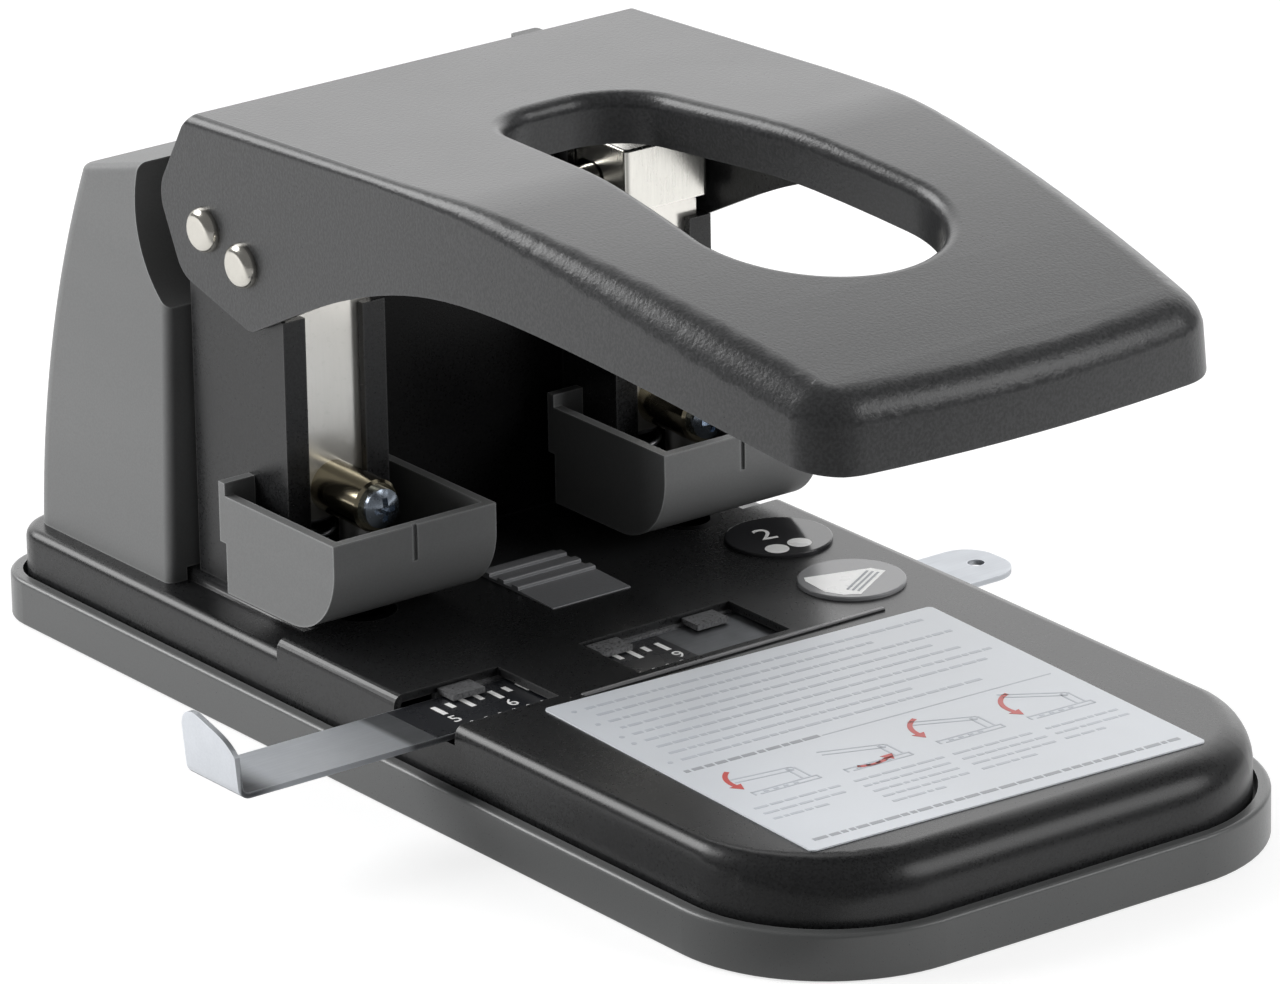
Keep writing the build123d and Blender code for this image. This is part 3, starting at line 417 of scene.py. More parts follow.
def sliding_zinc(name, colour, tab, shaded_run):
    """Zinc plating, dull outside, with painted shade where the strip runs under the deck and at the tab's
    bend, and darker past the run's right end.
    """
    finish = Finish(name, {"Metallic": 1.0})
    streaks = finish.speckle(PLATING_STREAKS, 2.0, finish.stretched(0.05, 1.0, 1.0))
    clouds = finish.speckle(PLATING_CLOUDS, 3.0)
    across = finish.axis("X")
    # Painted shade along the strip's run under the deck and at the tab's bend
    run_shade = finish.band(across, (shaded_run[0] - MM, shaded_run[0] + MM), (shaded_run[1] - MM, shaded_run[1] + MM))
    bend_shade = finish.band(across, (tab + 1.3 * MM, tab + 1.8 * MM), (tab + 3.5 * MM, tab + 11 * MM))
    tint = finish.blend(clouds * 0.45, rgba(colour), rgba(colour, 0.66))
    tint = finish.blend(streaks * 0.24, tint, rgba(colour, 0.58))
    tint = finish.blend(run_shade * (0.66 + clouds * 0.2), tint, rgba(colour, 0.08))
    tint = finish.blend(bend_shade * (0.65 + clouds * 0.4), tint, rgba(colour, 0.06))
    # Past the run's right end the strip turns somewhat darker
    tint = finish.blend(finish.step(across, shaded_run[1], shaded_run[1] + 2 * MM) * 0.5, tint, rgba(colour, 0.5))
    # Painted highlight along the edges
    tint = finish.blend(finish.edges(0.5 * MM) * 0.4, tint, rgba(colour, 1.1))
    finish.colour(tint)
    outer = finish.step(across, tab + 2 * MM, tab + MM)
    finish.roughness(0.42 + streaks * 0.12 + clouds * 0.08 - outer * 0.14)
    finish.relief(streaks, 0.000008, 0.35)
    return finish.material


def printed_ink(name, colour, base_roughness=0.35):
    """Printed ink with small pinholes and a faint mottle."""
    finish = Finish(name)
    pinholes = finish.step(finish.speckle(INK_PINHOLES, 2.0), 0.64, 0.74)
    clouds = finish.speckle(INK_CLOUDS, 2.0)
    tint = finish.blend(clouds, rgba(colour, 0.92), rgba(colour, 1.06))
    tint = finish.blend(pinholes * 0.25, tint, rgba(colour, 0.6))
    finish.colour(tint)
    finish.roughness(base_roughness + clouds * 0.12)
    finish.relief(pinholes, 0.000006, 0.4)
    return finish.material


def gloss_film(name, colour, base_roughness=0.12):
    """Smooth film with a slight waviness and a faint mottle."""
    finish = Finish(name)
    waves = finish.speckle(FILM_WAVES, 1.0)
    fibres = finish.speckle(FILM_FIBRES, 3.0)
    tint = finish.blend(waves, rgba(colour, 0.95), rgba(colour, 1.04))
    tint = finish.blend(fibres * 0.15, tint, rgba(colour, 0.85))
    finish.colour(tint)
    finish.roughness(base_roughness + fibres * 0.08 + waves * 0.06)
    finish.relief(waves, 0.00002, 0.2)
    return finish.material


def dress(material, *nodes):
    """Give CAD nodes a finish."""
    for name in nodes:
        node = frame["nodes"].get(name)
        if node is None:
            raise RuntimeError(f"the frame has no node {name}")
        if not node.material_slots:
            raise RuntimeError(f"{name} has no material slot")
        for slot in node.material_slots:
            slot.material = material


NUMERAL_SIZE = 1.4  # font size for a numeral of height 1


class Print:
    """Marks of one ink, drawn in millimetres on a level sheet and raised by the ink's height."""

    def __init__(self, name, ink, body, slot, origin, turn=0.0):
        self.name = name
        self.ink = ink
        self.body = body
        self.slot = slot
        self.place = Matrix.Translation(Vector(origin)) @ Matrix.Rotation(turn, 4, "Z")
        self.height = settings()[1].print_height
        self.mesh = bmesh.new()

    def shape(self, points):
        """Closed flat mark with a given outline."""
        foot = [self.mesh.verts.new((x * MM, y * MM, -self.height)) for x, y in points]
        top = [self.mesh.verts.new((x * MM, y * MM, self.height)) for x, y in points]
        self.mesh.faces.new(list(reversed(foot)))
        self.mesh.faces.new(top)
        for here in range(len(points)):
            there = (here + 1) % len(points)
            self.mesh.faces.new((foot[here], foot[there], top[there], top[here]))

    def bar(self, x, y, width, height, turn=0.0):
        """Rectangle about its middle."""
        corners = ((-1, -1), (1, -1), (1, 1), (-1, 1))
        flat = [(a * width / 2, b * height / 2) for a, b in corners]
        self.shape([(x + a * cos(turn) - b * sin(turn), y + a * sin(turn) + b * cos(turn)) for a, b in flat])

    def dot(self, x, y, radius, steps=40):
        """Round mark."""
        angles = [2 * pi * step / steps for step in range(steps)]
        self.shape([(x + radius * cos(a), y + radius * sin(a)) for a in angles])

    def ring(self, x, y, radius, width, steps=48, start=0.0, end=2 * pi):
        """Ring, or part of one, made of short bars that meet."""
        for step in range(steps):
            a = start + (end - start) * step / steps
            b = start + (end - start) * (step + 1) / steps
            inner = radius - width
            self.shape([
                (x + inner * cos(a), y + inner * sin(a)),
                (x + radius * cos(a), y + radius * sin(a)),
                (x + radius * cos(b), y + radius * sin(b)),
                (x + inner * cos(b), y + inner * sin(b)),
            ])

    def number(self, text, x, y, height, turn=0.0):
        """Plain numeral about its middle."""
        curve = bpy.data.curves.new(f"{self.name}_numeral", "FONT")
        curve.body = text
        curve.size = height * NUMERAL_SIZE * MM
        curve.align_x = "CENTER"
        curve.align_y = "CENTER"
        curve.extrude = self.height
        holder = bpy.data.objects.new(f"{self.name}_numeral", curve)
        bpy.context.scene.collection.objects.link(holder)
        view = bpy.context.evaluated_depsgraph_get()
        flat = bpy.data.meshes.new_from_object(holder.evaluated_get(view))
        flat.transform(Matrix.Translation((x * MM, y * MM, 0.0)) @ Matrix.Rotation(turn, 4, "Z"))
        self.mesh.from_mesh(flat)
        bpy.data.objects.remove(holder)
        bpy.data.curves.remove(curve)
        bpy.data.meshes.remove(flat)

    def finish(self):
        """Make the piece and let it ride on its body."""
        mesh = bpy.data.meshes.new(self.name)
        bmesh.ops.recalc_face_normals(self.mesh, faces=self.mesh.faces)
        self.mesh.to_mesh(mesh)
        self.mesh.free()
        mesh.transform(self.place)
        mesh.materials.append(self.ink)
        piece = bpy.data.objects.new(self.name, mesh)
        bpy.context.scene.collection.objects.link(piece)
        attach(piece, self.body)


class Outline:
    """A pressed sheet's outline seen from above, with or without its rear edge."""

    def __init__(self, points, with_rear):
        points = np.unique(np.round(points, 6), axis=0)
        ring = points[convex_hull_2d([Vector(point) for point in points])]
        rear = ring[:, 1].max() - EDGE_SLACK
        following = np.roll(ring, -1, axis=0)
        along = following - ring
        length = np.linalg.norm(along, axis=1)
        inward = np.stack((-along[:, 1], along[:, 0]), axis=1) / length[:, None]
        open_end = (ring[:, 1] > rear) & (following[:, 1] > rear) & (not with_rear)
        before = np.where(np.roll(open_end, 1)[:, None], inward, np.roll(inward, 1, axis=0))
        after = np.where(np.roll(open_end, -1)[:, None], inward, np.roll(inward, -1, axis=0))
        kept = ~open_end
        self.start, self.along, self.length = ring[kept], along[kept], length[kept]
        self.first, self.last = (before + inward)[kept], (inward + after)[kept]

    def inset(self, points):
        """Distance of each point from the outline, and the way in from there."""
        offset = points[:, None, :] - self.start[None]
        share = np.clip((offset * self.along).sum(2) / self.length**2, 0.0, 1.0)
        reach = np.linalg.norm(offset - share[..., None] * self.along, axis=2)
        near = reach.argmin(axis=1)
        row = np.arange(len(points))
        part = share[row, near][:, None]
        inward = self.first[near] * (1 - part) + self.last[near] * part
        return reach[row, near], inward / np.linalg.norm(inward, axis=1)[:, None]


class RolledSheet:
    """A copy of a pressed sheet's mesh whose rolled rim gets another radius."""

    def __init__(self, node, name, with_rear):
        work = bmesh.new()
        work.from_mesh(frame["nodes"][node].data)
        bmesh.ops.remove_doubles(work, verts=work.verts, dist=SLACK / 2)
        self.mesh = bpy.data.meshes.new(name)
        work.to_mesh(self.mesh)
        work.free()
        self.node = node
        place = np.empty(len(self.mesh.vertices) * 3)
        self.mesh.vertices.foreach_get("co", place)
        self.place = place.reshape(-1, 3)
        self.depth, self.inward = Outline(self.place[:, :2], with_rear).inset(self.place[:, :2])

    def crown(self, roll):
        """Height of the arched top for each Y, with its slope carried on over the front roll."""
        flat = self.place[self.depth > roll - SLACK][:, 1:]
        line = flat[convex_hull_2d([Vector(point) for point in flat])]
        chord = line[[line[:, 0].argmin(), line[:, 0].argmax()]]
        line = line[line[:, 1] >= np.interp(line[:, 0], chord[:, 0], chord[:, 1]) - 1e-9]
        line = line[line[:, 0].argsort()]
        slope = (line[1, 1] - line[0, 1]) / (line[1, 0] - line[0, 0])
        ahead = 20 * MM
        line = np.vstack((line[0] - np.array((ahead, ahead * slope)), line))
        return lambda y: np.interp(y, line[:, 0], line[:, 1])

    def change(self, top, old, new):
        """Turn the roll into a larger or smaller one about its own middle."""
        drop = top(self.place[:, 1]) - self.place[:, 2]
        rolled = (self.depth < old + SLACK) & (drop < old + SLACK)
        out, rise = old - self.depth, old - drop
        radius = np.maximum(np.hypot(out, rise), 1e-9)
        gain = (radius + new - old) / radius
        moved = self.place.copy()
        moved[:, :2] += self.inward * (new - out * gain - self.depth)[:, None]
        moved[:, 2] = top(moved[:, 1]) - new + rise * gain
        self.place[rolled] = moved[rolled]

    def tighten(self, chosen, top, old, new, sheet):
        """Make the roll smaller with each point at its old height; tells which points it took."""
        drop = top - self.place[:, 2]
        out, rise = old - self.depth, old - drop
        within = old - np.hypot(out, rise)
        on_skin = (np.abs(within) < SKIN_SLACK) | (np.abs(within - sheet) < SKIN_SLACK)
        rolled = chosen & on_skin & (out > -SKIN_SLACK) & (rise > -SKIN_SLACK)
        radius = np.maximum(new - within, 0.0)
        side = np.sqrt(np.maximum(radius**2 - np.maximum(new - drop, 0.0) ** 2, 0.0))
        shift = self.inward * (new - side - self.depth)[:, None]
        self.place[rolled, :2] += shift[rolled]
        return rolled

    def finish(self, material, body, slot):
        """Store the new shape and let it stand for its node."""
        self.mesh.vertices.foreach_set("co", self.place.ravel())
        self.mesh.update()
        self.mesh.shade_smooth()
        self.mesh.set_sharp_from_angle(angle=SHARP_ANGLE)
        self.mesh.materials.clear()
        self.mesh.materials.append(material)
        piece = bpy.data.objects.new(self.mesh.name, self.mesh)
        bpy.context.scene.collection.objects.link(piece)
        piece.modifiers.new("even_normals", "WEIGHTED_NORMAL").keep_sharp = True
        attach(piece, body)
        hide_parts(self.node)


def eased(value, low, high):
    """Rises smoothly from 0 to 1 as an array's values go from low to high."""
    share = np.clip((value - low) / (high - low), 0.0, 1.0)
    return share * share * (3 - 2 * share)


class PUNCH_OT_handle(bpy.types.Operator):
    """Roll and coat the handle and polish its rivets"""

    bl_idname = "punch.handle"
    bl_label = "Handle"

    # Distances behind the tip between which the tip's roll turns into the rear one
    roll_change = (18 * MM, 124 * MM)

    def execute(self, context):
        colours, sizes, _ = settings()
        shell = RolledSheet("handle", "handle_shell", False)
        y = shell.place[:, 1]
        back_share = eased(y - y.min(), *self.roll_change)
        radius = sizes.tip_roll + (sizes.rear_roll - sizes.tip_roll) * back_share
        shell.change(shell.crown(sizes.handle_roll), sizes.handle_roll, radius)
        coat = grained_coat("handle_coat", colours.handle_coat, sizes.handle_grain, sizes.edge_wear_and_sheen)
        shell.finish(coat, "handle", "textured_black_steel")
        rivets = plated_metal("rivet_metal", colours.rivet, 0.10, NO_STREAK, 0.15)
        dress(rivets, "pivot_axle", "drive_axle")
        return {"FINISHED"}


class PUNCH_OT_base(bpy.types.Operator):
    """Roll and coat the deck, coat the posts, the gauge's track and the cross plate"""

    bl_idname = "punch.base"
    bl_label = "Deck and posts"

    # Distances behind the front edge between which the front roll turns into the side roll
    roll_change = (2 * MM, 40 * MM)
    # Height above the deck from which the ridges' coat gets a painted highlight
    ridge_height = 0.1 * MM
    inner_gloss = 0.12

    def execute(self, context):
        colours, sizes, _ = settings()
        table = RolledSheet("deck", "deck_table", True)
        y = table.place[:, 1]
        front_share = 1.0 - eased(y - y.min(), *self.roll_change)
        radius = sizes.side_roll + (sizes.deck_roll - sizes.side_roll) * front_share
        step = sizes.deck_step
        ahead = y < step + EDGE_SLACK
        taken = table.tighten(ahead, sizes.deck_top, sizes.deck_roll, radius, sizes.deck_sheet)
        behind = (y > step - sizes.deck_sheet - EDGE_SLACK) & ~taken
        ledge = sizes.deck_top - sizes.ledge_drop
        table.tighten(behind, ledge, sizes.ledge_roll, sizes.side_roll, sizes.deck_sheet)
        grain, wear_and_sheen = sizes.deck_grain, sizes.edge_wear_and_sheen
        ridge = sizes.deck_top + self.ridge_height
        # The deck's ridges get a painted highlight
        coat = satin_coat("deck_coat", colours.deck_coat, grain, wear_and_sheen, highlight_above=ridge)
        table.finish(coat, "base", "black_steel")
        dress(satin_coat("post_coat", colours.deck_coat, grain, wear_and_sheen), "left_post", "right_post")
        dress(satin_coat("track_coat", colours.track_coat, grain, wear_and_sheen), "gauge_track")
        dress(satin_coat("inner_coat", colours.inner_coat, grain, wear_and_sheen, self.inner_gloss), "cross_plate")
        return {"FINISHED"}


class PUNCH_OT_plastics(bpy.types.Operator):
    """Mould the tray, the guards, the rear cover and the pad"""

    bl_idname = "punch.plastics"
    bl_label = "Plastic pieces"

    def execute(self, context):
        colours, sizes, _ = settings()
        grey = moulded_plastic("grey_plastic", colours.grey_plastic, sizes.plastic_grain, sizes.edge_wear_and_sheen)
        dress(grey, "left_guard", "right_guard", "rear_cover")
        tray = moulded_plastic("tray_plastic", colours.tray_plastic, sizes.plastic_grain, 0.4 * MM, 0.20)
        dress(tray, "chip_tray")
        pad = moulded_plastic("pad_plastic", colours.pad_plastic, sizes.plastic_grain, 0.3 * MM, 0.28)
        dress(pad, "centre_pad")
        return {"FINISHED"}


class PUNCH_OT_punches(bpy.types.Operator):
    """Plate the carriers and holders, grind the pins and dies, temper the springs"""

    bl_idname = "punch.punches"
    bl_label = "Punches"

    def coil(self, side, wire):
        """Return spring copied from its node in spring steel, riding on the base."""
        node, slide = f"{side}_return_spring", f"{side}_punch_slide"
        low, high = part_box(node)
        mesh = frame["nodes"][node].data.copy()
        mesh.materials.clear()
        mesh.materials.append(wire)
        piece = bpy.data.objects.new(f"{side}_spring_coil", mesh)
        bpy.context.scene.collection.objects.link(piece)
        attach(piece, "base")
        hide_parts(node)
        joints = {joint["name"]: joint for joint in frame["record"]["behaviour"]["joints"]}
        stroke = joints[slide]["range_m"][1]
        keep = 1 - stroke / (high.z - low.z)
        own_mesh(piece)

    def execute(self, context):
        colours, _, _ = settings()
        nickel = plated_metal("carrier_nickel", colours.nickel, 0.09, mottle=0.12, metallic=0.72)
        head = plated_metal("head_nickel", colours.head_nickel, 0.14, mottle=0.12)
        holder = plated_metal("holder_zinc", colours.yellow_zinc, 0.04, ALONG_Y)
        steel = plated_metal("tool_steel", colours.tool_steel, 0.24, ACROSS_Z)
        spring = plated_metal("spring_steel", colours.spring_steel, 0.30, NO_STREAK)
        zinc = plated_metal("screw_zinc", colours.screw_zinc, 0.14, NO_STREAK, 0.5)
        black = plated_metal("die_steel", colours.die_steel, 0.34, NO_STREAK)
        for side in SIDES:
            dress(nickel, f"{side}_carrier")
            dress(head, f"{side}_carrier_head")
            dress(holder, f"{side}_pin_holder")
            dress(steel, f"{side}_punch_pin")
            dress(black, f"{side}_die")
            self.coil(side, spring)
            dress(zinc, f"{side}_clamp_screw")
        dress(zinc, "frame_screws", "cover_screws")
        return {"FINISHED"}


class PUNCH_OT_gauge(bpy.types.Operator):
    """Plate the gauge and print its scale"""

    bl_idname = "punch.gauge"
    bl_label = "Gauge"

    strip_sheet = MM
    tab_depth = 3 * MM
    # Shares of the tab's sloped edge that fall evenly and in a nose at its front, and the nose's steepness
    even_fall, nose_fall, nose_power = 0.64, 0.36, 6
    # Scale, in millimetres from the gauge's middle
    ground = (-29.0, 0.0, 56.4, 14.4)
    first_tick = -49.85
    tick_top = 4.25
    tick_width = 1.0
    long_tick = 3.9
    short_tick = 2.3
    tick_count = 17
    numerals = ("5", "6", "7", "8", "9")
    numeral_row = -2.4
    numeral_height = 2.9
    first_dash = -48.4
    dash_row = -5.6
    dash_size = (0.6, 1.6)

    def strip(self, low, high, sizes):
        """The gauge's strip, with the upper edge of its tab sloped down to the front."""
        mesh = frame["nodes"]["gauge"].data.copy()
        mesh.name = "gauge_strip"
        mesh.materials.clear()
        corner = sizes.tab_corner
        for vertex in mesh.vertices:
            ahead = low.y + corner - vertex.co.y
            above = vertex.co.z - high.z + corner
            if min(ahead, above) > -SLACK:
                share = atan2(max(above, 0.0), max(ahead, 0.0)) / (pi / 2)
                left = 1 - share
                vertex.co.y = low.y + share * sizes.tab_slope
                fall = self.even_fall * left + self.nose_fall * left**self.nose_power
                vertex.co.z = high.z - sizes.tab_fall * fall
            if vertex.co.x < low.x + self.tab_depth:
                vertex.co.x += sizes.tab_lean * (high.z - vertex.co.z) / (high.z - low.z)
        mesh.update()
        piece = bpy.data.objects.new("gauge_strip", mesh)
        bpy.context.scene.collection.objects.link(piece)
        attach(piece, "gauge")
        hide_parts("gauge")
        return mesh

    def execute(self, context):
        colours, sizes, _ = settings()
        low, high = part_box("gauge")
        shaded_run = (sizes.shaded_run_left, sizes.shaded_run_right)
        self.strip(low, high, sizes).materials.append(sliding_zinc("gauge_zinc", colours.zinc, low.x, shaded_run))
        middle = (low.y + high.y) / 2
        top = low.z + self.strip_sheet
        pitch = sizes.tick_pitch / MM
        ground_ink = printed_ink("scale_ground", colours.ink_dark, 0.22)
        ground = Print("gauge_scale_ground", ground_ink, "gauge", "zinc_steel", (0.0, middle, top))
        ground.bar(*self.ground)
        ground.finish()
        mark_ink = printed_ink("scale_marks", colours.ink_white)
        above = (0.0, middle, top + sizes.print_height)
        marks = Print("gauge_scale_marks", mark_ink, "gauge", "zinc_steel", above)
        for step in range(self.tick_count):
            length = self.long_tick if step % 2 == 0 else self.short_tick
            marks.bar(self.first_tick + step * pitch, self.tick_top - length / 2, self.tick_width, length)
        for step, text in enumerate(self.numerals):
            marks.number(text, self.first_tick + step * 4 * pitch, self.numeral_row, self.numeral_height)
        for step in range(self.tick_count - 1):
            marks.bar(self.first_dash + step * pitch, self.dash_row, *self.dash_size)
        marks.finish()
        return {"FINISHED"}


class PUNCH_OT_label(bpy.types.Operator):
    """Lay the label film and print its plain lines, lever sketches and pointers"""

    bl_idname = "punch.label"
    bl_label = "Label"

    # Layout, in millimetres from the label's middle
    turn = radians(-2.6)
    margin = 37.0
    text_left = -34.4
    bullet_left = -36.6
    first_row = 34.6
    row_pitch = 3.55
    row_ends = (35.0, 22.0, 36.0, 30.0, 34.0, 36.5, 33.0, 16.0, 27.0)
    bullet_rows = (0, 2, 4, 5, 8)
    heading_row = 1.4
    heading_end = -10.0
    rule = (14.0, 1.2, 47.0, 0.3)
    # Sketches: place, lift of the lever, start and end of the pointer
    sketches = (
        (-27.0, -8.6, 0.10, 2.2, 3.3),
        (-9.0, -9.4, 0.32, 4.2, 5.3),
        (10.5, -8.4, 0.40, 2.0, 3.2),
        (29.0, -8.6, 0.55, 1.9, 3.4),
    )
    # Columns under the sketches: left, right, number of rows
    columns = ((-37.0, -20.0, 3), (-17.0, 1.0, 5), (3.0, 20.0, 4), (22.0, 37.0, 3))
    column_top = -18.6
    column_pitch = 2.7
    last_row_short = 6.0
    foot_row = -35.2
    # Lever sketches
    line = 0.35
    lever_length = 11.0
    pointer_radius = 6.4
    pointer_width = 0.9
    pointer_head = (1.3, 2.2)

    def words(self, ink, chance, left, right, y, height):
        """One row of plain dashes, as long and as far apart as words."""
        x = left
        while x < right - 1.0:
            length = min(chance.uniform(0.8, 3.4), right - x)
            ink.bar(x + length / 2, y, length, height)
            x += length + chance.uniform(0.35, 0.6)

    def lever(self, ink, red, x, y, lift, start, end):
        """Small sketch of a lever on a base, with a curved pointer."""
        base = ((0.0, -4.0, 13.0), (0.6, -5.3, 12.0))
        uprights = ((-6.4, -4.6, 1.5), (6.6, -4.6, 1.5), (4.0, -1.4, 5.0), (5.6, -1.4, 5.0))
        for across, up, length in base:
            ink.bar(x + across, y + up, length, self.line)
        for across, up, length in uprights:
            ink.bar(x + across, y + up, self.line, length)
        hinge = x + 4.8
        half = self.lever_length / 2
        for gap in (0.0, 1.5):
            ink.bar(hinge - half * cos(lift), y + gap + half * sin(lift), self.lever_length, self.line, -lift)
        ink.ring(hinge, y + 0.9, 0.7, 0.3, 16)
        for step in range(4):
            ink.bar(x + 2.0 - step * 2.0, y - 4.7, 0.9, 0.5)
        middle = (x - 1.0, y + 1.0)
        red.ring(*middle, self.pointer_radius, self.pointer_width, 20, start, end)
        reach = self.pointer_radius - self.pointer_width / 2
        tip = (middle[0] + reach * cos(end), middle[1] + reach * sin(end))
        ahead, wide = (-sin(end), cos(end)), (cos(end), sin(end))
        half_width, length = self.pointer_head
        red.shape((
            (tip[0] - half_width * wide[0], tip[1] - half_width * wide[1]),
            (tip[0] + half_width * wide[0], tip[1] + half_width * wide[1]),
            (tip[0] + length * ahead[0], tip[1] + length * ahead[1]),
        ))

    def execute(self, context):
        colours = settings()[0]
        dress(gloss_film("label_film", colours.label_film, 0.26), "label_plate")
        low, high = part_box("label_plate")
        middle = ((low.x + high.x) / 2, (low.y + high.y) / 2, high.z)
        grey, bold, red = (
            Print(name, printed_ink(f"label_{ink}_ink", colour), "base", "label_film", middle, self.turn)
            for name, ink, colour in (
                ("label_lines", "grey", colours.ink_grey),
                ("label_bold", "bold", colours.ink_bold),
                ("label_pointers", "red", colours.ink_red),
            )
        )
        chance = Random(11)
        for row, right in enumerate(self.row_ends):
            y = self.first_row - row * self.row_pitch
            if row in self.bullet_rows:
                grey.dot(self.bullet_left, y, 0.5, 16)
            self.words(grey, chance, self.text_left, right, y, 0.85)
        self.words(bold, chance, -self.margin, self.heading_end, self.heading_row, 1.05)
        grey.bar(*self.rule)
        for x, y, lift, start, end in self.sketches:
            self.lever(grey, red, x, y, lift, start, end)
        for left, right, rows in self.columns:
            for row in range(rows):
                short = self.last_row_short if row == rows - 1 else 0.0
                self.words(grey, chance, left, right - short, self.column_top - row * self.column_pitch, 0.7)
        self.words(bold, chance, -self.margin, self.margin, self.foot_row, 1.0)
        for ink in (grey, bold, red):
            ink.finish()
        return {"FINISHED"}


class PUNCH_OT_discs(bpy.types.Operator):
    """Lay the two discs and print a plain numeral, two holes and a sheet"""

    bl_idname = "punch.discs"
    bl_label = "Discs"

    # Prints, in millimetres from each disc's middle
    numeral = ("2", -1.6, 1.8, 5.2, radians(-12))
    holes = ((-4.2, -5.0), (0.7, -5.0))
    hole_radius = 2.15
    sheet = ((-7.2, 3.8), (-6.4, 5.2), (5.4, 1.6), (6.6, -1.0), (-3.6, -7.2), (-6.2, -5.6), (-7.8, -2.4))
    line_start = (1.5, -4.1)
    line_step = (-0.52, 0.855)
    line_offsets = (0.9, 1.9, 2.9)
    line_size = (9.6, 0.4, radians(31))

    def execute(self, context):
        colours, sizes, _ = settings()
        dress(gloss_film("dark_disc_film", colours.disc_dark, 0.06), "rear_disc")
        dress(gloss_film("pale_disc_film", colours.disc_pale, 0.16), "front_disc")
        white = printed_ink("disc_white_ink", colours.ink_white, 0.22)
        for name in ("rear_disc", "front_disc"):
            low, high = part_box(name)
            middle = ((low.x + high.x) / 2, (low.y + high.y) / 2, high.z)
            marks = Print(f"{name}_print", white, "base", "disc_pale", middle)
            if name == "rear_disc":
                marks.number(*self.numeral)
                for x, y in self.holes:
                    marks.dot(x, y, self.hole_radius)
            else:
                marks.shape(self.sheet)
                above = (middle[0], middle[1], middle[2] + 2 * sizes.print_height)
                grey = printed_ink("disc_grey_ink", colours.ink_bold)
                lines = Print(f"{name}_lines", grey, "base", "disc_pale", above)
                for offset in self.line_offsets:
                    x, y = (start + step * offset for start, step in zip(self.line_start, self.line_step))
                    lines.bar(x, y, *self.line_size)
                lines.finish()
            marks.finish()
        return {"FINISHED"}


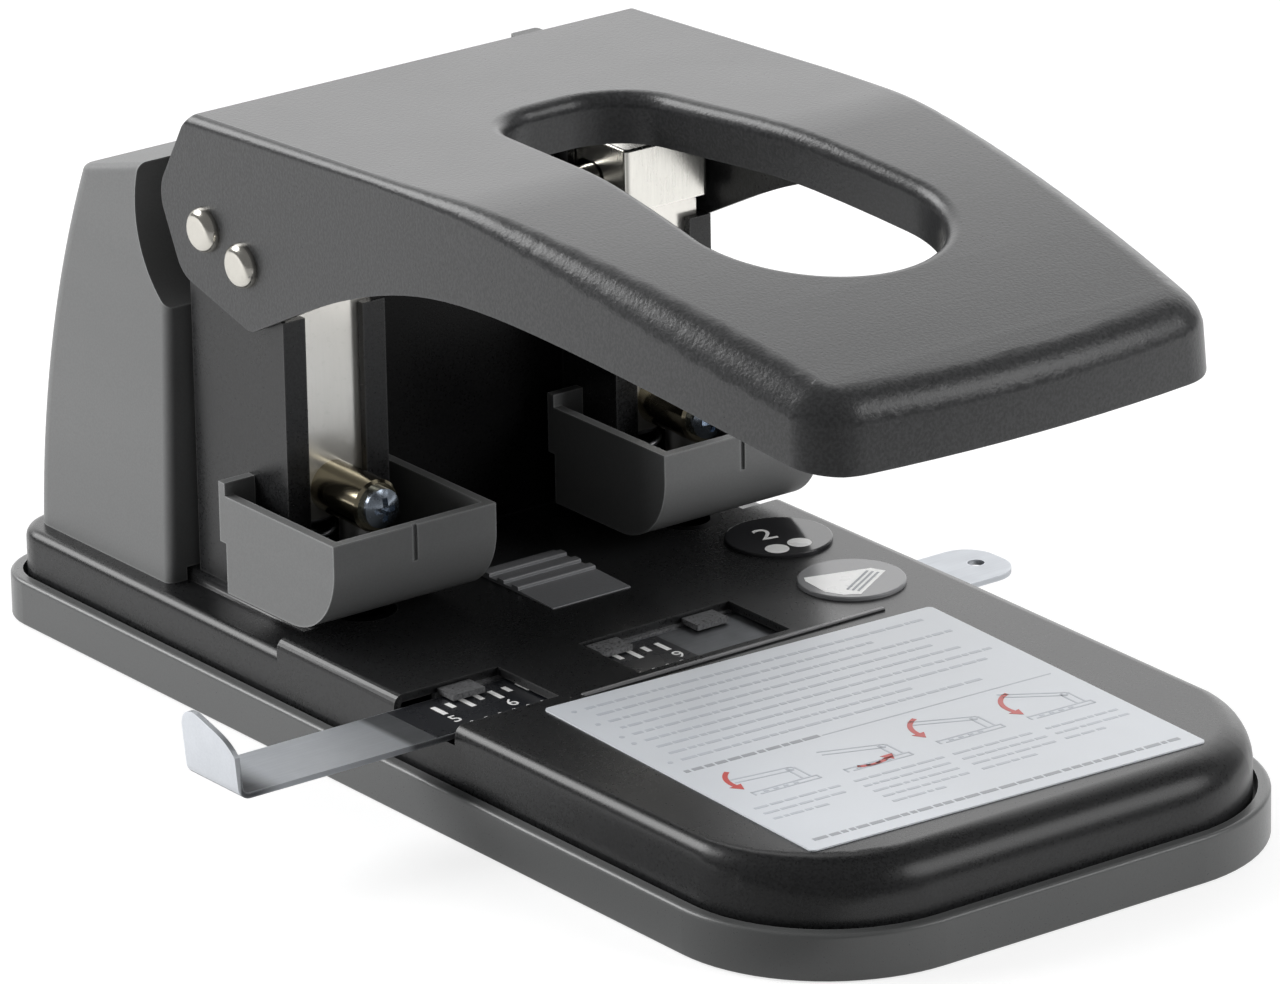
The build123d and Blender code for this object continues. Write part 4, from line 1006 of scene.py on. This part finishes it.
class PUNCH_OT_stage(bpy.types.Operator):
    """Set up floor, room light, lamps and camera"""

    bl_idname = "punch.stage"
    bl_label = "Stage"

    floor_half = 6.0
    floor_drop = 0.2 * MM
    floor_glow = 0.72
    paper_greys = ((0.36, 0.36, 0.36, 1.0), (0.39, 0.39, 0.39, 1.0))
    # The floor's mirror image has painted shade: it dims toward the camera and in a patch at the left front
    camera_way = (-0.595, -0.804, 0.0)
    dim_from, dim_to, dimmed = 0.06, 0.42, 0.8
    card_left, card_front, card_dark = (-0.05, -0.065), (0.04, -0.06), 0.95
    # Bright parts of the room: direction, cosines at the soft edge and at the core
    wall = ((0.57, 0.76, 0.27), 0.62, 0.97)
    left_screen = ((-0.37, 0.754, 0.545), 0.93, 0.985)
    right_screen = ((0.558, -0.60, 0.575), 0.95, 0.985)
    left_lamp = (-0.75, 0.45, 0.2)
    right_lamp = (0.6, -0.8, 0.4)
    lamp_size = 0.5
    lamp_target = (0.0, 0.0, 0.04)
    sensor_width = 36.0
    clip = (0.05, 30.0)

    def floor(self):
        """Wide pale floor that keeps the object's shadow."""
        mesh = bpy.data.meshes.new("floor")
        half = self.floor_half
        corners = [(-half, -half, 0.0), (half, -half, 0.0), (half, half, 0.0), (-half, half, 0.0)]
        mesh.from_pydata(corners, [], [(0, 1, 2, 3)])
        floor = bpy.data.objects.new("floor", mesh)
        floor.location.z = -self.floor_drop
        bpy.context.scene.collection.objects.link(floor)
        finish = Finish("floor_paper", {"Roughness": 0.9, "Specular IOR Level": 0.0})
        finish.colour(finish.blend(finish.speckle(PAPER_FIBRES, 3.0), *self.paper_greys))
        white = {"Color": (1.0, 1.0, 1.0, 1.0), "Strength": self.floor_glow}
        glow = finish.node("ShaderNodeEmission", None, white)
        seen = finish.node("ShaderNodeLightPath", output="Is Camera Ray")
        mirrored = finish.node("ShaderNodeLightPath", output="Is Glossy Ray")
        through = finish.node("ShaderNodeLightPath", output="Is Transmission Ray")
        toward_camera = finish.node("ShaderNodeVectorMath", {"operation": "DOT_PRODUCT"},
                                    {0: finish.place, 1: self.camera_way}, "Value")
        lit = 1.0 - finish.step(toward_camera, self.dim_from, self.dim_to) * self.dimmed
        # Painted shade patch in the floor's mirror image, at the left front
        leftward = finish.step(finish.axis("X"), *self.card_left)
        forward = finish.step(finish.axis("Y"), *self.card_front)
        card = leftward * forward
        lit = lit * (1.0 - card * self.card_dark)
        dark = finish.node("ShaderNodeEmission", None, {"Strength": 0.0})
        shares = seen + mirrored * lit + through
        shown = finish.node("ShaderNodeMixShader", None, {0: shares, 1: dark, 2: glow})
        shader = Signal(finish.tree, finish.shader.outputs[0])
        both = finish.node("ShaderNodeAddShader", None, {0: shader, 1: shown})
        finish.feed(finish.tree.nodes["Material Output"].inputs["Surface"], both)
        mesh.materials.append(finish.material)

    def room(self, stage):
        """Studio with a bright wall behind, a soft screen at each side and dim light at the camera."""
        world = bpy.data.worlds.new("studio")
        world.use_nodes = True
        bpy.context.scene.world = world
        work = NodeWork(world.node_tree)
        way = work.node("ShaderNodeTexCoord", output="Generated")
        level = stage.room_level
        for (toward, edge, core), strength in (
            (self.wall, stage.back_level),
            (self.left_screen, stage.left_level),
            (self.right_screen, stage.right_level),
        ):
            toward = Vector(toward).normalized()
            sockets = {0: way, 1: toward}
            near = work.node("ShaderNodeVectorMath", {"operation": "DOT_PRODUCT"}, sockets, "Value")
            glow = work.node("ShaderNodeMapRange", {"interpolation_type": "SMOOTHSTEP"}, {
                "Value": near, "From Min": edge, "From Max": core, "To Min": 0.0, "To Max": strength,
            })
            level = glow + level
        light = work.node("ShaderNodeBackground", None, {"Color": (1.0, 1.0, 1.0, 1.0), "Strength": level})
        work.feed(world.node_tree.nodes["World Output"].inputs["Surface"], light)

    def lamp(self, name, place, power):
        """Square soft lamp that looks at the punch."""
        light = bpy.data.lights.new(name, "AREA")
        light.energy = power
        light.size = self.lamp_size
        lamp = bpy.data.objects.new(name, light)
        lamp.location = place
        lamp.visible_glossy = False
        lamp.rotation_mode = "QUATERNION"
        lamp.rotation_quaternion = (Vector(self.lamp_target) - Vector(place)).to_track_quat("-Z", "Y")
        bpy.context.scene.collection.objects.link(lamp)

    def camera(self, stage):
        """Long lens at the photograph's viewing angle."""
        back = Vector((
            sin(stage.azimuth) * cos(stage.elevation),
            -cos(stage.azimuth) * cos(stage.elevation),
            sin(stage.elevation),
        ))
        right = Vector((cos(stage.azimuth), sin(stage.azimuth), 0.0))
        up = back.cross(right)
        tilted_right = right * cos(stage.roll) + up * sin(stage.roll)
        tilted_up = up * cos(stage.roll) - right * sin(stage.roll)
        turn = Matrix((tilted_right, tilted_up, back)).transposed()
        lens = bpy.data.cameras.new("camera")
        lens.lens = stage.lens
        lens.sensor_width = self.sensor_width
        lens.clip_start, lens.clip_end = self.clip
        camera = bpy.data.objects.new("camera", lens)
        camera.matrix_world = Matrix.Translation(Vector(stage.camera_place)) @ turn.to_4x4()
        bpy.context.scene.collection.objects.link(camera)
        bpy.context.scene.camera = camera

    def execute(self, context):
        stage = settings()[2]
        self.floor()
        self.room(stage)
        self.lamp("left_lamp", self.left_lamp, stage.left_power)
        self.lamp("right_lamp", self.right_lamp, stage.right_power)
        self.camera(stage)
        context.scene.view_settings.view_transform = "Standard"
        return {"FINISHED"}


class PUNCH_PT_panel(bpy.types.Panel):
    """Lists the punch's groups of pieces"""

    bl_idname = "PUNCH_PT_panel"
    bl_label = "Desk punch"
    bl_space_type = "VIEW_3D"
    bl_region_type = "UI"
    bl_category = "Desk punch"

    def draw(self, context):
        for operator in operators:
            self.layout.operator(operator.bl_idname)
        for group in (context.scene.punch_colours, context.scene.punch_sizes, context.scene.punch_stage):
            box = self.layout.box()
            for name in group.__annotations__:
                box.prop(group, name)


operators = (
    PUNCH_OT_handle,
    PUNCH_OT_base,
    PUNCH_OT_plastics,
    PUNCH_OT_punches,
    PUNCH_OT_gauge,
    PUNCH_OT_label,
    PUNCH_OT_discs,
    PUNCH_OT_stage,
)
groups = (PunchColours, PunchSizes, PunchStage)


def register():
    for item in (*groups, *operators, PUNCH_PT_panel):
        bpy.utils.register_class(item)
    bpy.types.Scene.punch_colours = PointerProperty(type=PunchColours)
    bpy.types.Scene.punch_sizes = PointerProperty(type=PunchSizes)
    bpy.types.Scene.punch_stage = PointerProperty(type=PunchStage)


def unregister():
    del bpy.types.Scene.punch_stage
    del bpy.types.Scene.punch_sizes
    del bpy.types.Scene.punch_colours
    for item in reversed((*groups, *operators, PUNCH_PT_panel)):
        bpy.utils.unregister_class(item)


def main():
    register()
    bpy.ops.punch.handle()
    bpy.ops.punch.base()
    bpy.ops.punch.plastics()
    bpy.ops.punch.punches()
    bpy.ops.punch.gauge()
    bpy.ops.punch.label()
    bpy.ops.punch.discs()
    bpy.ops.punch.stage()


if __name__ == "__main__":
    main()
